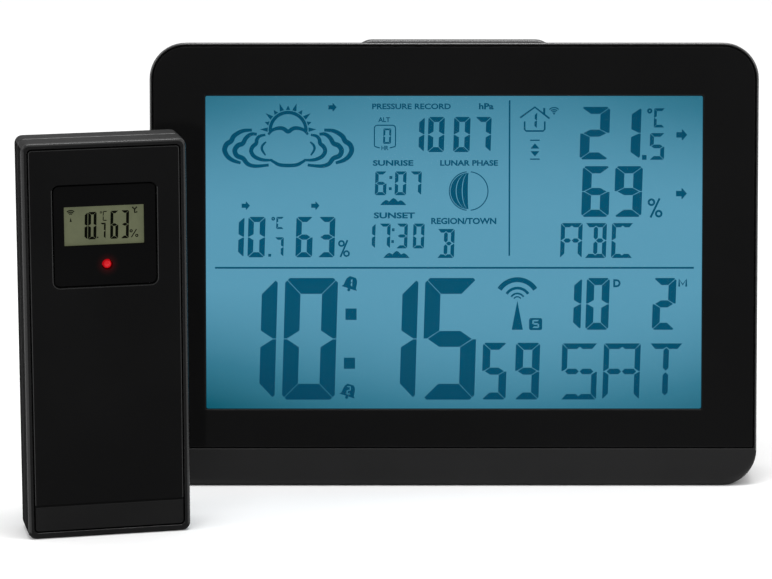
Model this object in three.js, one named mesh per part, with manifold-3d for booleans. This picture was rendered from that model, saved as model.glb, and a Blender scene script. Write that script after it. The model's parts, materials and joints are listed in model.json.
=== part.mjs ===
// Home weather station with its wireless outdoor sensor, as separate parts.
//
// Units are millimetres, +Z is up and the displays face -Y. The origin is the centre of the
// station's flat base, on the surface that it stands on.
//
// Station parts are drawn in the case's own frame: x to the right, y from the front face
// towards the rear and z up the face. One group then leans the whole case back by TILT.
// Sensor parts are drawn the same way in the sensor's own frame.

import * as THREE from 'three';
import { mergeVertices } from 'three/addons/utils/BufferGeometryUtils.js';
import Module from 'manifold-3d';

const wasm = await Module();
wasm.setup();

// ---------------------------------------------------------------- driving dimensions

const CASE_WIDTH = 190;
const CASE_HEIGHT = 139;
const CASE_DEPTH = 28;
const CASE_CORNER = 11.3;
const TILT = THREE.MathUtils.degToRad(8.6);
const BASE_FRONT = 12.5; // from the base's front edge back to the origin
const CASE_SPLIT = 8; // depth of the joint between the front and rear shells
const WALL = 2.2;
const GAP = 0.35; // between parts that lie against each other

const FASCIA_BACK = 2.0;
const RECESS_DEPTH = 2.3; // seat of the fascia
const RIM = 0.75; // width of the rim round the fascia
const CHIN_TOP = 11.9;
const SEAT_BACK = 3.6; // rear of the fascia's seat
const WINDOW = { left: -77.6, right: 77.6, low: 24.4, high: 122.4 };

const BOARD_FRONT = 11.2;
const BOARD_BACK = 12.8;
const REAR_WALL = CASE_DEPTH - 2; // inner side of the rear wall
const SCREW_PLACES = [[-84, 130], [84, 130], [-84, 12], [84, 12]];
const KEY_NAMES = ['mode', 'alarm', 'history', 'channel', 'memory', 'alert', 'down', 'up'];
const KEY_PITCH = 18;
const KEY_HEIGHT = 117;
const KEY_SIZE = { width: 11, height: 5 };
const SNOOZE = { halfWidth: 29.3, front: 9.5, back: 20.5, top: 140.2 };

const CELL_RADIUS = 5.25;
const CELL_LENGTH = 44.5;
const NUB_HEIGHT = 0.9;
const BAY = { left: -82, right: -46, low: 21.2, high: 72.8, floor: 15 };
const BAY_CELLS = [-74.8, -64, -53.2];
const DOOR = { left: -84, right: -44, low: 17.5, high: 76, depth: 1.6 };

const JACK = { x: 72, z: 34 };
const HANGER = { z: 84, radius: 4.5, slot: 2, slotTop: 93 };
const BUZZER = { x: 52, z: 62, radius: 7 };
const FOOT = { halfWidth: 30, length: 38, thickness: 3, knuckle: 2.4, axisY: CASE_DEPTH - 2.5 };
const FOOT_AXIS_Z = (FOOT.knuckle + FOOT.axisY * Math.sin(TILT)) / Math.cos(TILT);
const FOOT_RECESS_HALF = FOOT.halfWidth + 0.6;

const SENSOR = { width: 49, height: 120, depth: 18, corner: 2.5, split: 8, wall: 2 };
const SENSOR_PLACE = { x: -103.9, y: -66.7, turn: THREE.MathUtils.degToRad(12.5) };
const SENSOR_PANEL = { half: 22.35, low: 2.35, high: 117.85 };
const SENSOR_WINDOW = { half: 15.5, low: 76.4, high: 107.2, corner: 2 };
const SENSOR_DISPLAY = { left: -12.2, right: 11.5, low: 89, high: 100.7 };
const SENSOR_LED = { x: 0.6, z: 82.9, radius: 1.3 };
const SENSOR_SEAT_BACK = 3.2;
const SENSOR_REAR_WALL = SENSOR.depth - 1.6;
const SENSOR_BAY = { half: 11.5, low: 12, high: 61.2, floor: 4.9 };
const SWITCH_BAY = { low: 63, high: 72, floor: 9 };
const SENSOR_CELLS = [-5.6, 5.6];
const SENSOR_DOOR = { half: 14.8, low: 8.4, high: 75.6, depth: 1.5 };
const SENSOR_HANGER = { z: 102, radius: 3.6, slot: 1.6, slotTop: 108.5 };

// ---------------------------------------------------------------- materials

function finish(colour, roughness, metalness = 0) {
  return new THREE.MeshStandardMaterial({ color: colour, roughness, metalness });
}

const satinBlack = finish(0x202020, 0.5);
const glossBlack = finish(0x0e0e0f, 0.08);
const clearPlastic = new THREE.MeshStandardMaterial(
  { color: 0xe8f2f6, roughness: 0.05, transparent: true, opacity: 0.3 },
);
const blueDisplay = finish(0x4f93ad, 0.3);
const greyDisplay = finish(0x6c705a, 0.35);
const whiteDiffuser = finish(0xe6eef0, 0.4);
const whitePlastic = finish(0xd8d8d2, 0.5);
const darkRubber = finish(0x2a2a2c, 0.8);
const circuitGreen = finish(0x1d5a34, 0.5);
const epoxyBlack = finish(0x121212, 0.4);
const ferrite = finish(0x3a3a3c, 0.7);
const copper = finish(0xb0703a, 0.35, 1);
const nickel = finish(0xb9bbb8, 0.3, 1);
const cellWrap = finish(0x2f5d8a, 0.35);
const redLens = finish(0xd01a20, 0.2);
const sensorBlue = finish(0x3a78b4, 0.5);

// ---------------------------------------------------------------- solids

function toSolid(geometry) {
  const bare = geometry.clone();
  bare.deleteAttribute('normal');
  bare.deleteAttribute('uv');
  const merged = mergeVertices(bare, 1e-4);
  return new wasm.Manifold(new wasm.Mesh({
    numProp: 3,
    vertProperties: new Float32Array(merged.attributes.position.array),
    triVerts: new Uint32Array(merged.index.array),
  }));
}

function toGeometry(solid) {
  const mesh = solid.getMesh();
  const geometry = new THREE.BufferGeometry();
  geometry.setAttribute('position', new THREE.BufferAttribute(mesh.vertProperties, 3));
  geometry.setIndex(new THREE.BufferAttribute(mesh.triVerts, 1));
  geometry.computeVertexNormals();
  return geometry;
}

// An upright rectangle in the x-z plane, with quarter rounds at its corners.
function rectangle(left, right, low, high, radius = 0) {
  const shape = new THREE.Shape();
  if (radius === 0) {
    shape.setFromPoints([
      new THREE.Vector2(left, low), new THREE.Vector2(right, low),
      new THREE.Vector2(right, high), new THREE.Vector2(left, high),
    ]);
    return shape;
  }
  const quarter = Math.PI / 2;
  shape.absarc(right - radius, low + radius, radius, -quarter, 0);
  shape.absarc(right - radius, high - radius, radius, 0, quarter);
  shape.absarc(left + radius, high - radius, radius, quarter, 2 * quarter);
  shape.absarc(left + radius, low + radius, radius, 2 * quarter, 3 * quarter);
  shape.closePath();
  return shape;
}

// A shape of the x-z plane, extruded along y from front to back.
function prism(shape, front, back, curveSegments = 2) {
  const geometry = new THREE.ExtrudeGeometry(
    shape, { depth: back - front, bevelEnabled: false, curveSegments },
  );
  geometry.rotateX(Math.PI / 2);
  geometry.translate(0, back, 0);
  return toSolid(geometry);
}

function block(left, right, front, back, low, high) {
  const geometry = new THREE.BoxGeometry(right - left, back - front, high - low);
  geometry.translate((left + right) / 2, (front + back) / 2, (low + high) / 2);
  return toSolid(geometry);
}

// A rod or cone along y. The first radius is at the front.
function rodAlongY(x, z, front, back, frontRadius, backRadius = frontRadius, sides = 16) {
  const geometry = new THREE.CylinderGeometry(backRadius, frontRadius, back - front, sides);
  geometry.translate(x, (front + back) / 2, z);
  return toSolid(geometry);
}

function rodAlongX(left, right, y, z, radius, sides = 16) {
  const geometry = new THREE.CylinderGeometry(radius, radius, right - left, sides);
  geometry.rotateZ(Math.PI / 2);
  geometry.translate((left + right) / 2, y, z);
  return toSolid(geometry);
}

// A rod or cone along z. The first radius is at the bottom.
function rodAlongZ(x, y, low, high, lowRadius, highRadius = lowRadius, sides = 16) {
  const geometry = new THREE.CylinderGeometry(highRadius, lowRadius, high - low, sides);
  geometry.rotateX(Math.PI / 2);
  geometry.translate(x, y, (low + high) / 2);
  return toSolid(geometry);
}

// A skin through closed outlines at growing depths, capped at both ends. Each section is
// [depth, shape], and all shapes have the same number of points.
function loft(sections, curveSegments = 4) {
  const positions = [];
  const index = [];
  const rings = sections.map(([, shape]) => shape.extractPoints(curveSegments).shape);
  const count = rings[0].length;
  rings.forEach((ring, row) => {
    ring.forEach((point) => positions.push(point.x, sections[row][0], point.y));
  });
  const lastRing = (rings.length - 1) * count;
  for (let i = 0; i < count; i += 1) {
    const next = (i + 1) % count;
    for (let row = 0; row < rings.length - 1; row += 1) {
      const front = row * count;
      const back = front + count;
      index.push(front + i, back + next, front + next);
      index.push(front + i, back + i, back + next);
    }
    if (i > 0 && next > 0) {
      index.push(0, i, next);
      index.push(lastRing, lastRing + next, lastRing + i);
    }
  }
  const geometry = new THREE.BufferGeometry();
  geometry.setAttribute('position', new THREE.Float32BufferAttribute(positions, 3));
  geometry.setIndex(index);
  return toSolid(geometry);
}

function joined(solids) {
  return solids.reduce((sum, solid) => sum.add(solid));
}

function cut(solid, tools) {
  return tools.reduce((rest, tool) => rest.subtract(tool), solid);
}

// ---------------------------------------------------------------- station: shells

// The case's outline, moved in by inset.
function caseOutline(inset) {
  const half = CASE_WIDTH / 2 - inset;
  return rectangle(-half, half, inset, CASE_HEIGHT - inset, CASE_CORNER - inset);
}

function caseLoft(insets) {
  return loft(insets.map(([depth, inset]) => [depth, caseOutline(inset)]));
}

// Everything lower than height above the table, in the leaning case's frame.
function underTable(height) {
  const geometry = new THREE.BoxGeometry(2 * CASE_WIDTH, 200, 50);
  geometry.translate(0, 0, height - 25);
  geometry.rotateX(TILT);
  return toSolid(geometry);
}

function frontCase() {
  const half = CASE_WIDTH / 2;
  const shell = caseLoft([[0, 0.8], [0.25, 0.25], [0.8, 0], [CASE_SPLIT - 0.3, 0]]);
  const rimEdge = rectangle(
    -half + RIM, half - RIM, -CASE_CORNER, CASE_HEIGHT - RIM, CASE_CORNER - RIM,
  );
  const seat = prism(rimEdge, -1, RECESS_DEPTH, 4)
    .subtract(block(-half, half, -2, CASE_SPLIT, -2 * CASE_CORNER, CHIN_TOP));
  const cavity = prism(caseOutline(WALL), SEAT_BACK, CASE_SPLIT, 4).subtract(underTable(WALL));
  const chinHollow = block(-half + 6, half - 6, WALL, SEAT_BACK + 1, WALL + 1, CHIN_TOP - 2);
  const opening = block(-79, 79, 0, CASE_SPLIT, 23, 124);
  const hollowed = cut(shell, [seat, cavity, chinHollow, opening]);
  const bosses = SCREW_PLACES.map(([x, z]) => rodAlongY(x, z, 3, 13.7, 3));
  const pilots = SCREW_PLACES.map(([x, z]) => rodAlongY(x, z, 5, 15, 1.5, 1.5, 12));
  return cut(joined([hollowed, ...bosses]), [...pilots, underTable(0)]);
}

function frontFascia() {
  const inset = RIM + 0.45;
  const half = CASE_WIDTH / 2 - inset;
  const top = CASE_HEIGHT - inset;
  const outline = rectangle(-half, half, -CASE_CORNER, top, CASE_CORNER - inset);
  const plate = prism(outline, 0.1, FASCIA_BACK, 4);
  const belowChin = block(-half - 1, half + 1, -1, CASE_SPLIT, -2 * CASE_CORNER, CHIN_TOP + 0.4);
  const window = block(WINDOW.left, WINDOW.right, -1, CASE_SPLIT, WINDOW.low, WINDOW.high);
  return cut(plate, [belowChin, window]);
}

function rearShell() {
  const outer = caseLoft([
    [CASE_SPLIT, 0], [14, 0.3], [20, 1], [25, 2.2], [27, 3.3], [CASE_DEPTH, 4.5],
  ]);
  const lip = caseLoft([[6.2, WALL + GAP], [CASE_SPLIT + 2, WALL + GAP]]);
  const hollow = caseLoft([
    [5, 4.05], [9.4, 4.05], [10.6, 2.6], [14, 2.6], [20, 3.3], [24, 4.3], [REAR_WALL, 5.6],
  ]).subtract(underTable(3.5));
  return joined([outer, lip]).subtract(hollow).subtract(underTable(0))
    .subtract(block(-100, 100, 6, CASE_SPLIT, -5, 3.6));
}

function rearBlocks() {
  const bayWalls = block(DOOR.left - 1, DOOR.right + 1, BAY.floor - 1.3, REAR_WALL + 0.5, 16.5, 77);
  const footBed = block(
    -FOOT_RECESS_HALF - 2, FOOT_RECESS_HALF + 2, 22.5, REAR_WALL + 0.5, 6, 48.5,
  );
  const cheeks = [-1, 1].map((side) => {
    const middle = side * (FOOT_RECESS_HALF + 2);
    return block(middle - 2, middle + 2, 20, REAR_WALL + 0.5, 5, 13);
  });
  const hingeBack = block(-FOOT_RECESS_HALF - 2, FOOT_RECESS_HALF + 2, 20, 24, 5, 13);
  const posts = SCREW_PLACES.map(([x, z]) => rodAlongY(x, z, 14, REAR_WALL + 0.5, 4));
  return [bayWalls, footBed, ...cheeks, hingeBack, ...posts];
}

// The flat foot's bed in the rear wall, and the deeper groove for its knuckle.
function footCuts() {
  const half = FOOT_RECESS_HALF;
  const bed = block(-half, half, FOOT.axisY - 1, CASE_DEPTH + 1, -5, FOOT_AXIS_Z + FOOT.length + 1.5);
  const groove = block(
    -half, half, FOOT.axisY - FOOT.knuckle - 0.4, CASE_DEPTH + 1, -5, FOOT_AXIS_Z + FOOT.knuckle + 0.5,
  );
  const pinHoles = rodAlongX(-half - 2.6, half + 2.6, FOOT.axisY, FOOT_AXIS_Z, 1.6, 12);
  const fingerNotch = block(-9, 9, FOOT.axisY - 1, CASE_DEPTH + 1, 40, 51);
  return [bed, groove, pinHoles, fingerNotch];
}

// A round hole for a wall screw's head, with a narrower slot above it.
function hangerCuts(hanger, front, back) {
  return [
    rodAlongY(0, hanger.z, front, back, hanger.radius, hanger.radius, 20),
    prism(rectangle(-hanger.slot, hanger.slot, hanger.z, hanger.slotTop, 1.5), front, back),
  ];
}

function keyPlace(number) {
  return (number - (KEY_NAMES.length - 1) / 2) * KEY_PITCH;
}

function keyOutline(margin) {
  const halfWidth = KEY_SIZE.width / 2 + margin;
  const halfHeight = KEY_SIZE.height / 2 + margin;
  return rectangle(-halfWidth, halfWidth, -halfHeight, halfHeight, Math.min(halfHeight - 0.1, 2.4));
}

function rearOpenings() {
  const outside = CASE_DEPTH + 1;
  const inside = REAR_WALL - 1;
  const tools = [
    block(BAY.left, BAY.right, BAY.floor, outside, BAY.low, BAY.high),
    block(DOOR.left, DOOR.right, CASE_DEPTH - DOOR.depth, outside, DOOR.low, DOOR.high),
    rodAlongY(JACK.x, JACK.z, inside, outside, 4.2, 4.2, 20),
    block(
      -SNOOZE.halfWidth - 0.4, SNOOZE.halfWidth + 0.4, SNOOZE.front - 0.4, SNOOZE.back + 0.4,
      CASE_HEIGHT - 6, CASE_HEIGHT + 2,
    ),
    ...hangerCuts(HANGER, inside, outside),
    ...footCuts(),
  ];
  KEY_NAMES.forEach((name, number) => {
    tools.push(prism(keyOutline(0.4), inside, outside).translate(keyPlace(number), 0, KEY_HEIGHT));
  });
  SCREW_PLACES.forEach(([x, z]) => {
    tools.push(rodAlongY(x, z, 18, outside, 2.8));
    tools.push(rodAlongY(x, z, 13, 19, 1.5, 1.5, 12));
  });
  for (let slot = 0; slot < 5; slot += 1) {
    tools.push(block(61, 75, inside, outside, 78 + 3.4 * slot, 79.6 + 3.4 * slot));
  }
  for (let hole = 0; hole < 7; hole += 1) {
    const reach = hole === 0 ? 0 : 4;
    const angle = hole * Math.PI / 3;
    const x = BUZZER.x + reach * Math.cos(angle);
    const z = BUZZER.z + reach * Math.sin(angle);
    tools.push(rodAlongY(x, z, inside, outside, 0.8, 0.8, 8));
  }
  return tools;
}

function rearCase() {
  return cut(joined([rearShell(), ...rearBlocks()]), [...rearOpenings(), underTable(0)]);
}

function caseScrew(x, z) {
  const shank = rodAlongY(x, z, 6, 18.8, 1.15, 1.15, 10);
  const head = rodAlongY(x, z, 18.3, 20.3, 2.4, 2.4, 14);
  const driveSlot = joined([
    block(x - 1.6, x + 1.6, 19.5, 21, z - 0.35, z + 0.35),
    block(x - 0.35, x + 0.35, 19.5, 21, z - 1.6, z + 1.6),
  ]);
  return shank.add(head).subtract(driveSlot);
}

// ---------------------------------------------------------------- station: display

function displayLens() {
  return block(-78.65, 78.65, 2.4, 3.3, 23.35, 123.65);
}

function displayGlass() {
  return block(-80.5, 80.5, 3.9, 6.1, 21, 125);
}

function lightGuide() {
  return block(-80, 80, 6.5, 9.5, 24.6, 122.1);
}

function displayFrame() {
  const outer = block(-82.6, 82.6, 4, 10, 19.2, 126.6);
  const inner = block(-80.9, 80.9, 3, 11, 20.6, 125.4);
  return outer.subtract(inner);
}

// ---------------------------------------------------------------- station: electronics

function mainBoard() {
  const board = block(-80, 80, BOARD_FRONT, BOARD_BACK, 16, 126);
  const corners = [-1, 1].map((side) => {
    const middle = side * 80;
    return block(middle - 3, middle + 3, 10, 14, 122, 127);
  });
  return cut(board, corners);
}

function controllerChip() {
  return rodAlongY(20, 72, BOARD_BACK + GAP, BOARD_BACK + 1.8, 8, 5, 20);
}

function radioModule() {
  const board = block(34, 56, 13.2, 14.2, 84, 97);
  const can = block(37, 47, 14, 16.6, 86, 95);
  return board.add(can);
}

function ferriteAntenna() {
  return rodAlongX(-30, 30, 19, 104, 4, 14);
}

function antennaCoil() {
  const outer = rodAlongX(-11, 11, 19, 104, 5.3, 18);
  return outer.subtract(rodAlongX(-12, 12, 19, 104, 4.4, 18));
}

function buzzer() {
  const can = rodAlongY(BUZZER.x, BUZZER.z, 13.2, 20, BUZZER.radius, BUZZER.radius, 24);
  return can.subtract(rodAlongY(BUZZER.x, BUZZER.z, 18, 21, 1.2, 1.2, 10));
}

function humiditySensor() {
  const body = block(64, 72, 13.2, 17, 80, 90);
  const slots = [0, 1, 2].map((row) => block(65, 71, 16.2, 18, 81.6 + 2.8 * row, 82.8 + 2.8 * row));
  return cut(body, slots);
}

function snoozeSwitch() {
  const body = block(-3.1, 3.1, 10.7, 16.9, 126.4, 130.4);
  return body.add(rodAlongZ(0, 13.8, 130, 131.2, 1.7, 1.7, 12));
}

function keyPad() {
  const sheet = block(-72, 72, 13.15, 14.15, 111.5, 122.5);
  const domes = KEY_NAMES.map((name, number) => (
    rodAlongY(keyPlace(number), KEY_HEIGHT, 14, 17, 3.6, 1.9, 10)
  ));
  return joined([sheet, ...domes]);
}

function dcJack() {
  const body = block(JACK.x - 4.5, JACK.x + 4.5, 13.2, 25.5, JACK.z - 5.5, JACK.z + 5.5);
  const nose = rodAlongY(JACK.x, JACK.z, 25, 27.7, 3.8, 3.8, 20);
  const socket = rodAlongY(JACK.x, JACK.z, 17, 29, 3, 3, 16);
  const pin = rodAlongY(JACK.x, JACK.z, 16, 26.8, 1, 1, 10);
  return body.add(nose).subtract(socket).add(pin);
}

// ---------------------------------------------------------------- station: batteries

// A cell standing along z, with its cap at the top.
function uprightCell(x, y, low) {
  const can = rodAlongZ(x, y, low, low + CELL_LENGTH - NUB_HEIGHT, CELL_RADIUS, CELL_RADIUS, 20);
  const top = low + CELL_LENGTH;
  return can.add(rodAlongZ(x, y, top - NUB_HEIGHT - 0.5, top, 1.9, 1.9, 12));
}

function flippedCell(x, y, low) {
  const bottomCap = rodAlongZ(x, y, low, low + NUB_HEIGHT + 0.5, 1.9, 1.9, 12);
  const can = rodAlongZ(x, y, low + NUB_HEIGHT, low + CELL_LENGTH, CELL_RADIUS, CELL_RADIUS, 20);
  return can.add(bottomCap);
}

// A plate across the ends of one or two cells. lift is the height of the spring or dimple
// that meets each cell, and is negative on a plate above the cells.
function contact(plate, y, cells, springs) {
  const width = 4.6;
  const sheet = block(
    Math.min(...cells) - width, Math.max(...cells) + width, y - width, y + width, plate, plate + 0.8,
  );
  const lifts = cells.map((x, place) => {
    const lift = springs[place];
    const wide = Math.abs(lift) > 1.5 ? 3.4 : 2;
    return lift > 0
      ? rodAlongZ(x, y, plate + 0.4, plate + 0.8 + lift, wide, wide - 1, 12)
      : rodAlongZ(x, y, plate + lift, plate + 0.4, wide - 1, wide, 12);
  });
  return joined([sheet, ...lifts]);
}

function batteryDoor(door, depth, corner, ribs) {
  const plate = prism(
    rectangle(door.left + GAP, door.right - GAP, door.low + GAP, door.high - GAP, corner),
    depth - door.depth + 0.1, depth - 0.05,
  );
  const middle = (door.left + door.right) / 2;
  const grooves = [];
  for (let rib = 0; rib < ribs; rib += 1) {
    const height = door.high - 6 - 2 * rib;
    grooves.push(block(middle - 6, middle + 6, depth - 0.6, depth + 1, height, height + 0.9));
  }
  return cut(plate, grooves);
}

// ---------------------------------------------------------------- station: moving parts

function snoozeButton() {
  const { halfWidth, front, back, top } = SNOOZE;
  const profile = new THREE.Shape();
  const corner = 2.4;
  const skirt = CASE_HEIGHT - 5.4;
  profile.moveTo(-halfWidth, skirt);
  profile.lineTo(halfWidth, skirt);
  profile.lineTo(halfWidth, top - 1.3);
  profile.quadraticCurveTo(halfWidth - 0.4, top, halfWidth - corner, top);
  profile.lineTo(-halfWidth + corner, top);
  profile.quadraticCurveTo(-halfWidth + 0.4, top, -halfWidth, top - 1.3);
  profile.closePath();
  const cap = prism(profile, front, back, 4);
  const flange = block(-halfWidth - 2, halfWidth + 2, front - 0.4, back + 0.5, 133, 134.4);
  const hollow = block(-halfWidth + 2, halfWidth - 2, front + 2, back - 2, 132, top - 2.5);
  const stem = block(-4, 4, front + 1, back - 1, 133, top - 1);
  const tip = rodAlongZ(0, 13.8, 132.3, 134, 1.8, 1.8, 12);
  return cut(cap.add(flange), [hollow]).add(stem).add(tip);
}

function rearKey(number) {
  const halfWidth = KEY_SIZE.width / 2 + 1.3;
  const halfHeight = KEY_SIZE.height / 2 + 1.3;
  const cap = prism(keyOutline(0), 22, CASE_DEPTH + 1);
  const flange = block(
    -halfWidth, halfWidth, REAR_WALL - 1.6, REAR_WALL - 0.4, -halfHeight, halfHeight,
  );
  const stem = rodAlongY(0, 0, 17.9, 23, 1.8, 2.2, 8);
  return joined([cap, flange, stem]).translate(keyPlace(number), 0, KEY_HEIGHT);
}

// The foot lies flat behind the case, drawn about its hinge axis with y to the rear.
function standFoot() {
  const { halfWidth, length, thickness, knuckle } = FOOT;
  const half = halfWidth;
  const plan = rectangle(-half, half, 0, length, 5);
  const geometry = new THREE.ExtrudeGeometry(
    plan, { depth: thickness, bevelEnabled: false, curveSegments: 3 },
  );
  geometry.translate(0, 0, -knuckle);
  const plate = toSolid(geometry).subtract(block(-half - 1, half + 1, -1, 0.2, -4, 4));
  const barrel = rodAlongX(-half, half, 0, 0, knuckle, 18);
  const neck = block(-half, half, 0, 5.5, -knuckle, thickness - knuckle);
  const pins = rodAlongX(-half - 2.2, half + 2.2, 0, 0, 1.2, 12);
  const padCuts = [-1, 1].map((side) => (
    block(side * 20 - 6, side * 20 + 6, length - 9, length - 4, -knuckle - 1, -knuckle + 0.5)
  ));
  return cut(joined([plate, barrel, neck, pins]), padCuts);
}

// ---------------------------------------------------------------- sensor: shells

function sensorOutline(inset) {
  const half = SENSOR.width / 2 - inset;
  return rectangle(-half, half, inset, SENSOR.height - inset, Math.max(SENSOR.corner - inset, 0.4));
}

function sensorLoft(insets) {
  return loft(insets.map(([depth, inset]) => [depth, sensorOutline(inset)]), 2);
}

function sensorFrontCase() {
  const shell = sensorLoft([[0, 1.2], [0.35, 0.45], [1.1, 0], [SENSOR.split - 0.3, 0]]);
  const { half, low, high } = SENSOR_PANEL;
  const seat = prism(rectangle(-half - GAP, half + GAP, low - GAP, high + GAP, 1.2), -1, 1.8);
  const cavity = prism(sensorOutline(SENSOR.wall), SENSOR_SEAT_BACK, SENSOR.split);
  const displayHole = block(-17, 17, 0, SENSOR.split, 85.2, 105.5);
  const ledHole = rodAlongY(SENSOR_LED.x, SENSOR_LED.z, 0, SENSOR.split, 1.7, 1.7, 12);
  return cut(shell, [seat, cavity, displayHole, ledHole]);
}

function sensorPanel() {
  const { half, low, high } = SENSOR_PANEL;
  const plate = prism(rectangle(-half, half, low, high, 1), 0.1, 1.45);
  const { half: side, low: bottom, high: top, corner } = SENSOR_WINDOW;
  const windowHole = prism(rectangle(-side, side, bottom, top, corner), -1, 3);
  const chinGroove = block(-half - 1, half + 1, -1, 0.6, 10, 10.5);
  return cut(plate, [windowHole, chinGroove]);
}

function sensorWindow() {
  const { half, low, high, corner } = SENSOR_WINDOW;
  const outline = rectangle(-half + GAP, half - GAP, low + GAP, high - GAP, corner - GAP);
  const plate = prism(outline, 0.5, 1.45);
  const { left, right, low: bottom, high: top } = SENSOR_DISPLAY;
  const aperture = block(left, right, -1, 3, bottom, top);
  const ledHole = rodAlongY(SENSOR_LED.x, SENSOR_LED.z, -1, 3, 1.7, 1.7, 12);
  return cut(plate, [aperture, ledHole]);
}

function sensorRearCase() {
  const outer = sensorLoft([[SENSOR.split, 0], [14, 0], [16.6, 0.7], [17.6, 1.4], [SENSOR.depth, 2.2]]);
  const lip = sensorLoft([[6.4, SENSOR.wall + GAP], [SENSOR.split + 1.5, SENSOR.wall + GAP]]);
  const hollow = sensorLoft([[5, 3.4], [9, 3.4], [9.8, 2.2], [14, 2.2], [SENSOR_REAR_WALL, 3]]);
  const shell = outer.add(lip).subtract(hollow);
  const { half, low, high, floor } = SENSOR_BAY;
  const wide = half + 1.7;
  const walls = [
    block(-wide, wide, floor - 1.3, SENSOR_REAR_WALL + 0.5, low - 1.6, high + 1.4),
    block(-wide, wide, SWITCH_BAY.floor - 1.4, SENSOR_REAR_WALL + 0.5, high, SWITCH_BAY.high + 1.6),
    block(
      -SENSOR_DOOR.half - 1.6, SENSOR_DOOR.half + 1.6, 14.9, SENSOR_REAR_WALL + 0.5,
      SENSOR_DOOR.low - 1.6, SENSOR_DOOR.high + 1.6,
    ),
  ];
  const outside = SENSOR.depth + 1;
  const tools = [
    block(-half, half, floor, outside, low, high),
    block(-half, half, SWITCH_BAY.floor, outside, SWITCH_BAY.low, SWITCH_BAY.high),
    block(
      -SENSOR_DOOR.half, SENSOR_DOOR.half, SENSOR.depth - SENSOR_DOOR.depth, outside,
      SENSOR_DOOR.low, SENSOR_DOOR.high,
    ),
    block(-10.6, -2, 6, SWITCH_BAY.floor + 1, 65.8, 69.2),
    rodAlongY(6.5, 67.5, 6, SWITCH_BAY.floor + 1, 2.2, 2.2, 14),
    ...hangerCuts(SENSOR_HANGER, SENSOR_REAR_WALL - 1, outside),
  ];
  for (let slot = 0; slot < 4; slot += 1) {
    tools.push(block(-7, 7, SENSOR_REAR_WALL - 1, outside, 82 + 3 * slot, 83.4 + 3 * slot));
  }
  return cut(joined([shell, ...walls]), tools);
}

// ---------------------------------------------------------------- sensor: inner parts

function sensorLed() {
  const { x, z, radius } = SENSOR_LED;
  const stalk = rodAlongY(x, z, 1.2, 5, radius, radius, 14);
  return stalk.add(rodAlongY(x, z, 0.7, 1.2, radius * 0.6, radius, 14));
}

function sensorChannelSwitch() {
  return joined([
    block(-10.2, -7, 7.5, 8.6, 66.2, 68.8),
    block(-9.6, -7.6, 8, 11.2, 66.6, 68.4),
  ]);
}

function sensorSendButton() {
  return rodAlongY(6.5, 67.5, 8, 11.3, 1.8, 1.8, 14);
}

function sensorAntenna() {
  const coil = rodAlongZ(17, 11.5, 84, 110, 1.9, 1.9, 12);
  return coil.subtract(rodAlongZ(17, 11.5, 83, 111, 1.2, 1.2, 8));
}

// ---------------------------------------------------------------- assembly

function addPart(parent, name, solid, material) {
  const mesh = new THREE.Mesh(toGeometry(solid), material);
  mesh.name = name;
  parent.add(mesh);
}

function buildStation() {
  const station = new THREE.Group();
  station.rotation.x = -TILT;
  station.position.y = -BASE_FRONT;
  addPart(station, 'front_case', frontCase(), satinBlack);
  addPart(station, 'front_fascia', frontFascia(), glossBlack);
  addPart(station, 'rear_case', rearCase(), satinBlack);
  SCREW_PLACES.forEach(([x, z], number) => {
    addPart(station, `case_screw_${number + 1}`, caseScrew(x, z), nickel);
  });
  addPart(station, 'display_lens', displayLens(), clearPlastic);
  addPart(station, 'display_glass', displayGlass(), blueDisplay);
  addPart(station, 'light_guide', lightGuide(), whiteDiffuser);
  addPart(station, 'display_frame', displayFrame(), whitePlastic);
  addPart(station, 'display_connector', block(-70, 70, 6.5, 10.9, 122.5, 124.9), darkRubber);
  addPart(station, 'backlight_leds', block(-40, 40, 6.5, 9.5, 21.3, 24.2), whiteDiffuser);
  addPart(station, 'main_board', mainBoard(), circuitGreen);
  addPart(station, 'controller_chip', controllerChip(), epoxyBlack);
  addPart(station, 'radio_module', radioModule(), circuitGreen);
  addPart(station, 'ferrite_antenna', ferriteAntenna(), ferrite);
  addPart(station, 'antenna_coil', antennaCoil(), copper);
  addPart(station, 'buzzer', buzzer(), epoxyBlack);
  addPart(station, 'pressure_sensor', block(40, 45, 13.2, 15, 72, 77), nickel);
  addPart(station, 'humidity_sensor', humiditySensor(), sensorBlue);
  addPart(station, 'snooze_switch', snoozeSwitch(), epoxyBlack);
  addPart(station, 'key_pad', keyPad(), darkRubber);
  addPart(station, 'dc_jack', dcJack(), epoxyBlack);
  addBatteries(station);
  addPart(station, 'snooze_button', snoozeButton(), satinBlack);
  KEY_NAMES.forEach((name, number) => {
    addPart(station, `key_${name}`, rearKey(number), darkRubber);
  });
  addFoot(station);
  return station;
}

function addBatteries(station) {
  const middle = BAY.floor + 0.45 + CELL_RADIUS;
  const low = BAY.low + 3.4;
  const [first, second, third] = BAY_CELLS;
  addPart(station, 'battery_1', uprightCell(first, middle, low), cellWrap);
  addPart(station, 'battery_2', flippedCell(second, middle, low), cellWrap);
  addPart(station, 'battery_3', uprightCell(third, middle, low), cellWrap);
  const under = BAY.low + 0.4;
  const over = BAY.high - 1.2;
  addPart(station, 'contact_low_pair', contact(under, middle, [first, second], [1.8, 1.5]), nickel);
  addPart(station, 'contact_low_single', contact(under, middle, [third], [1.8]), nickel);
  addPart(station, 'contact_high_single', contact(over, middle, [first], [-1.2]), nickel);
  addPart(station, 'contact_high_pair', contact(over, middle, [second, third], [-1.8, -1.2]), nickel);
  addPart(station, 'battery_door', batteryDoor(DOOR, CASE_DEPTH, 1.5, 4), satinBlack);
}

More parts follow.
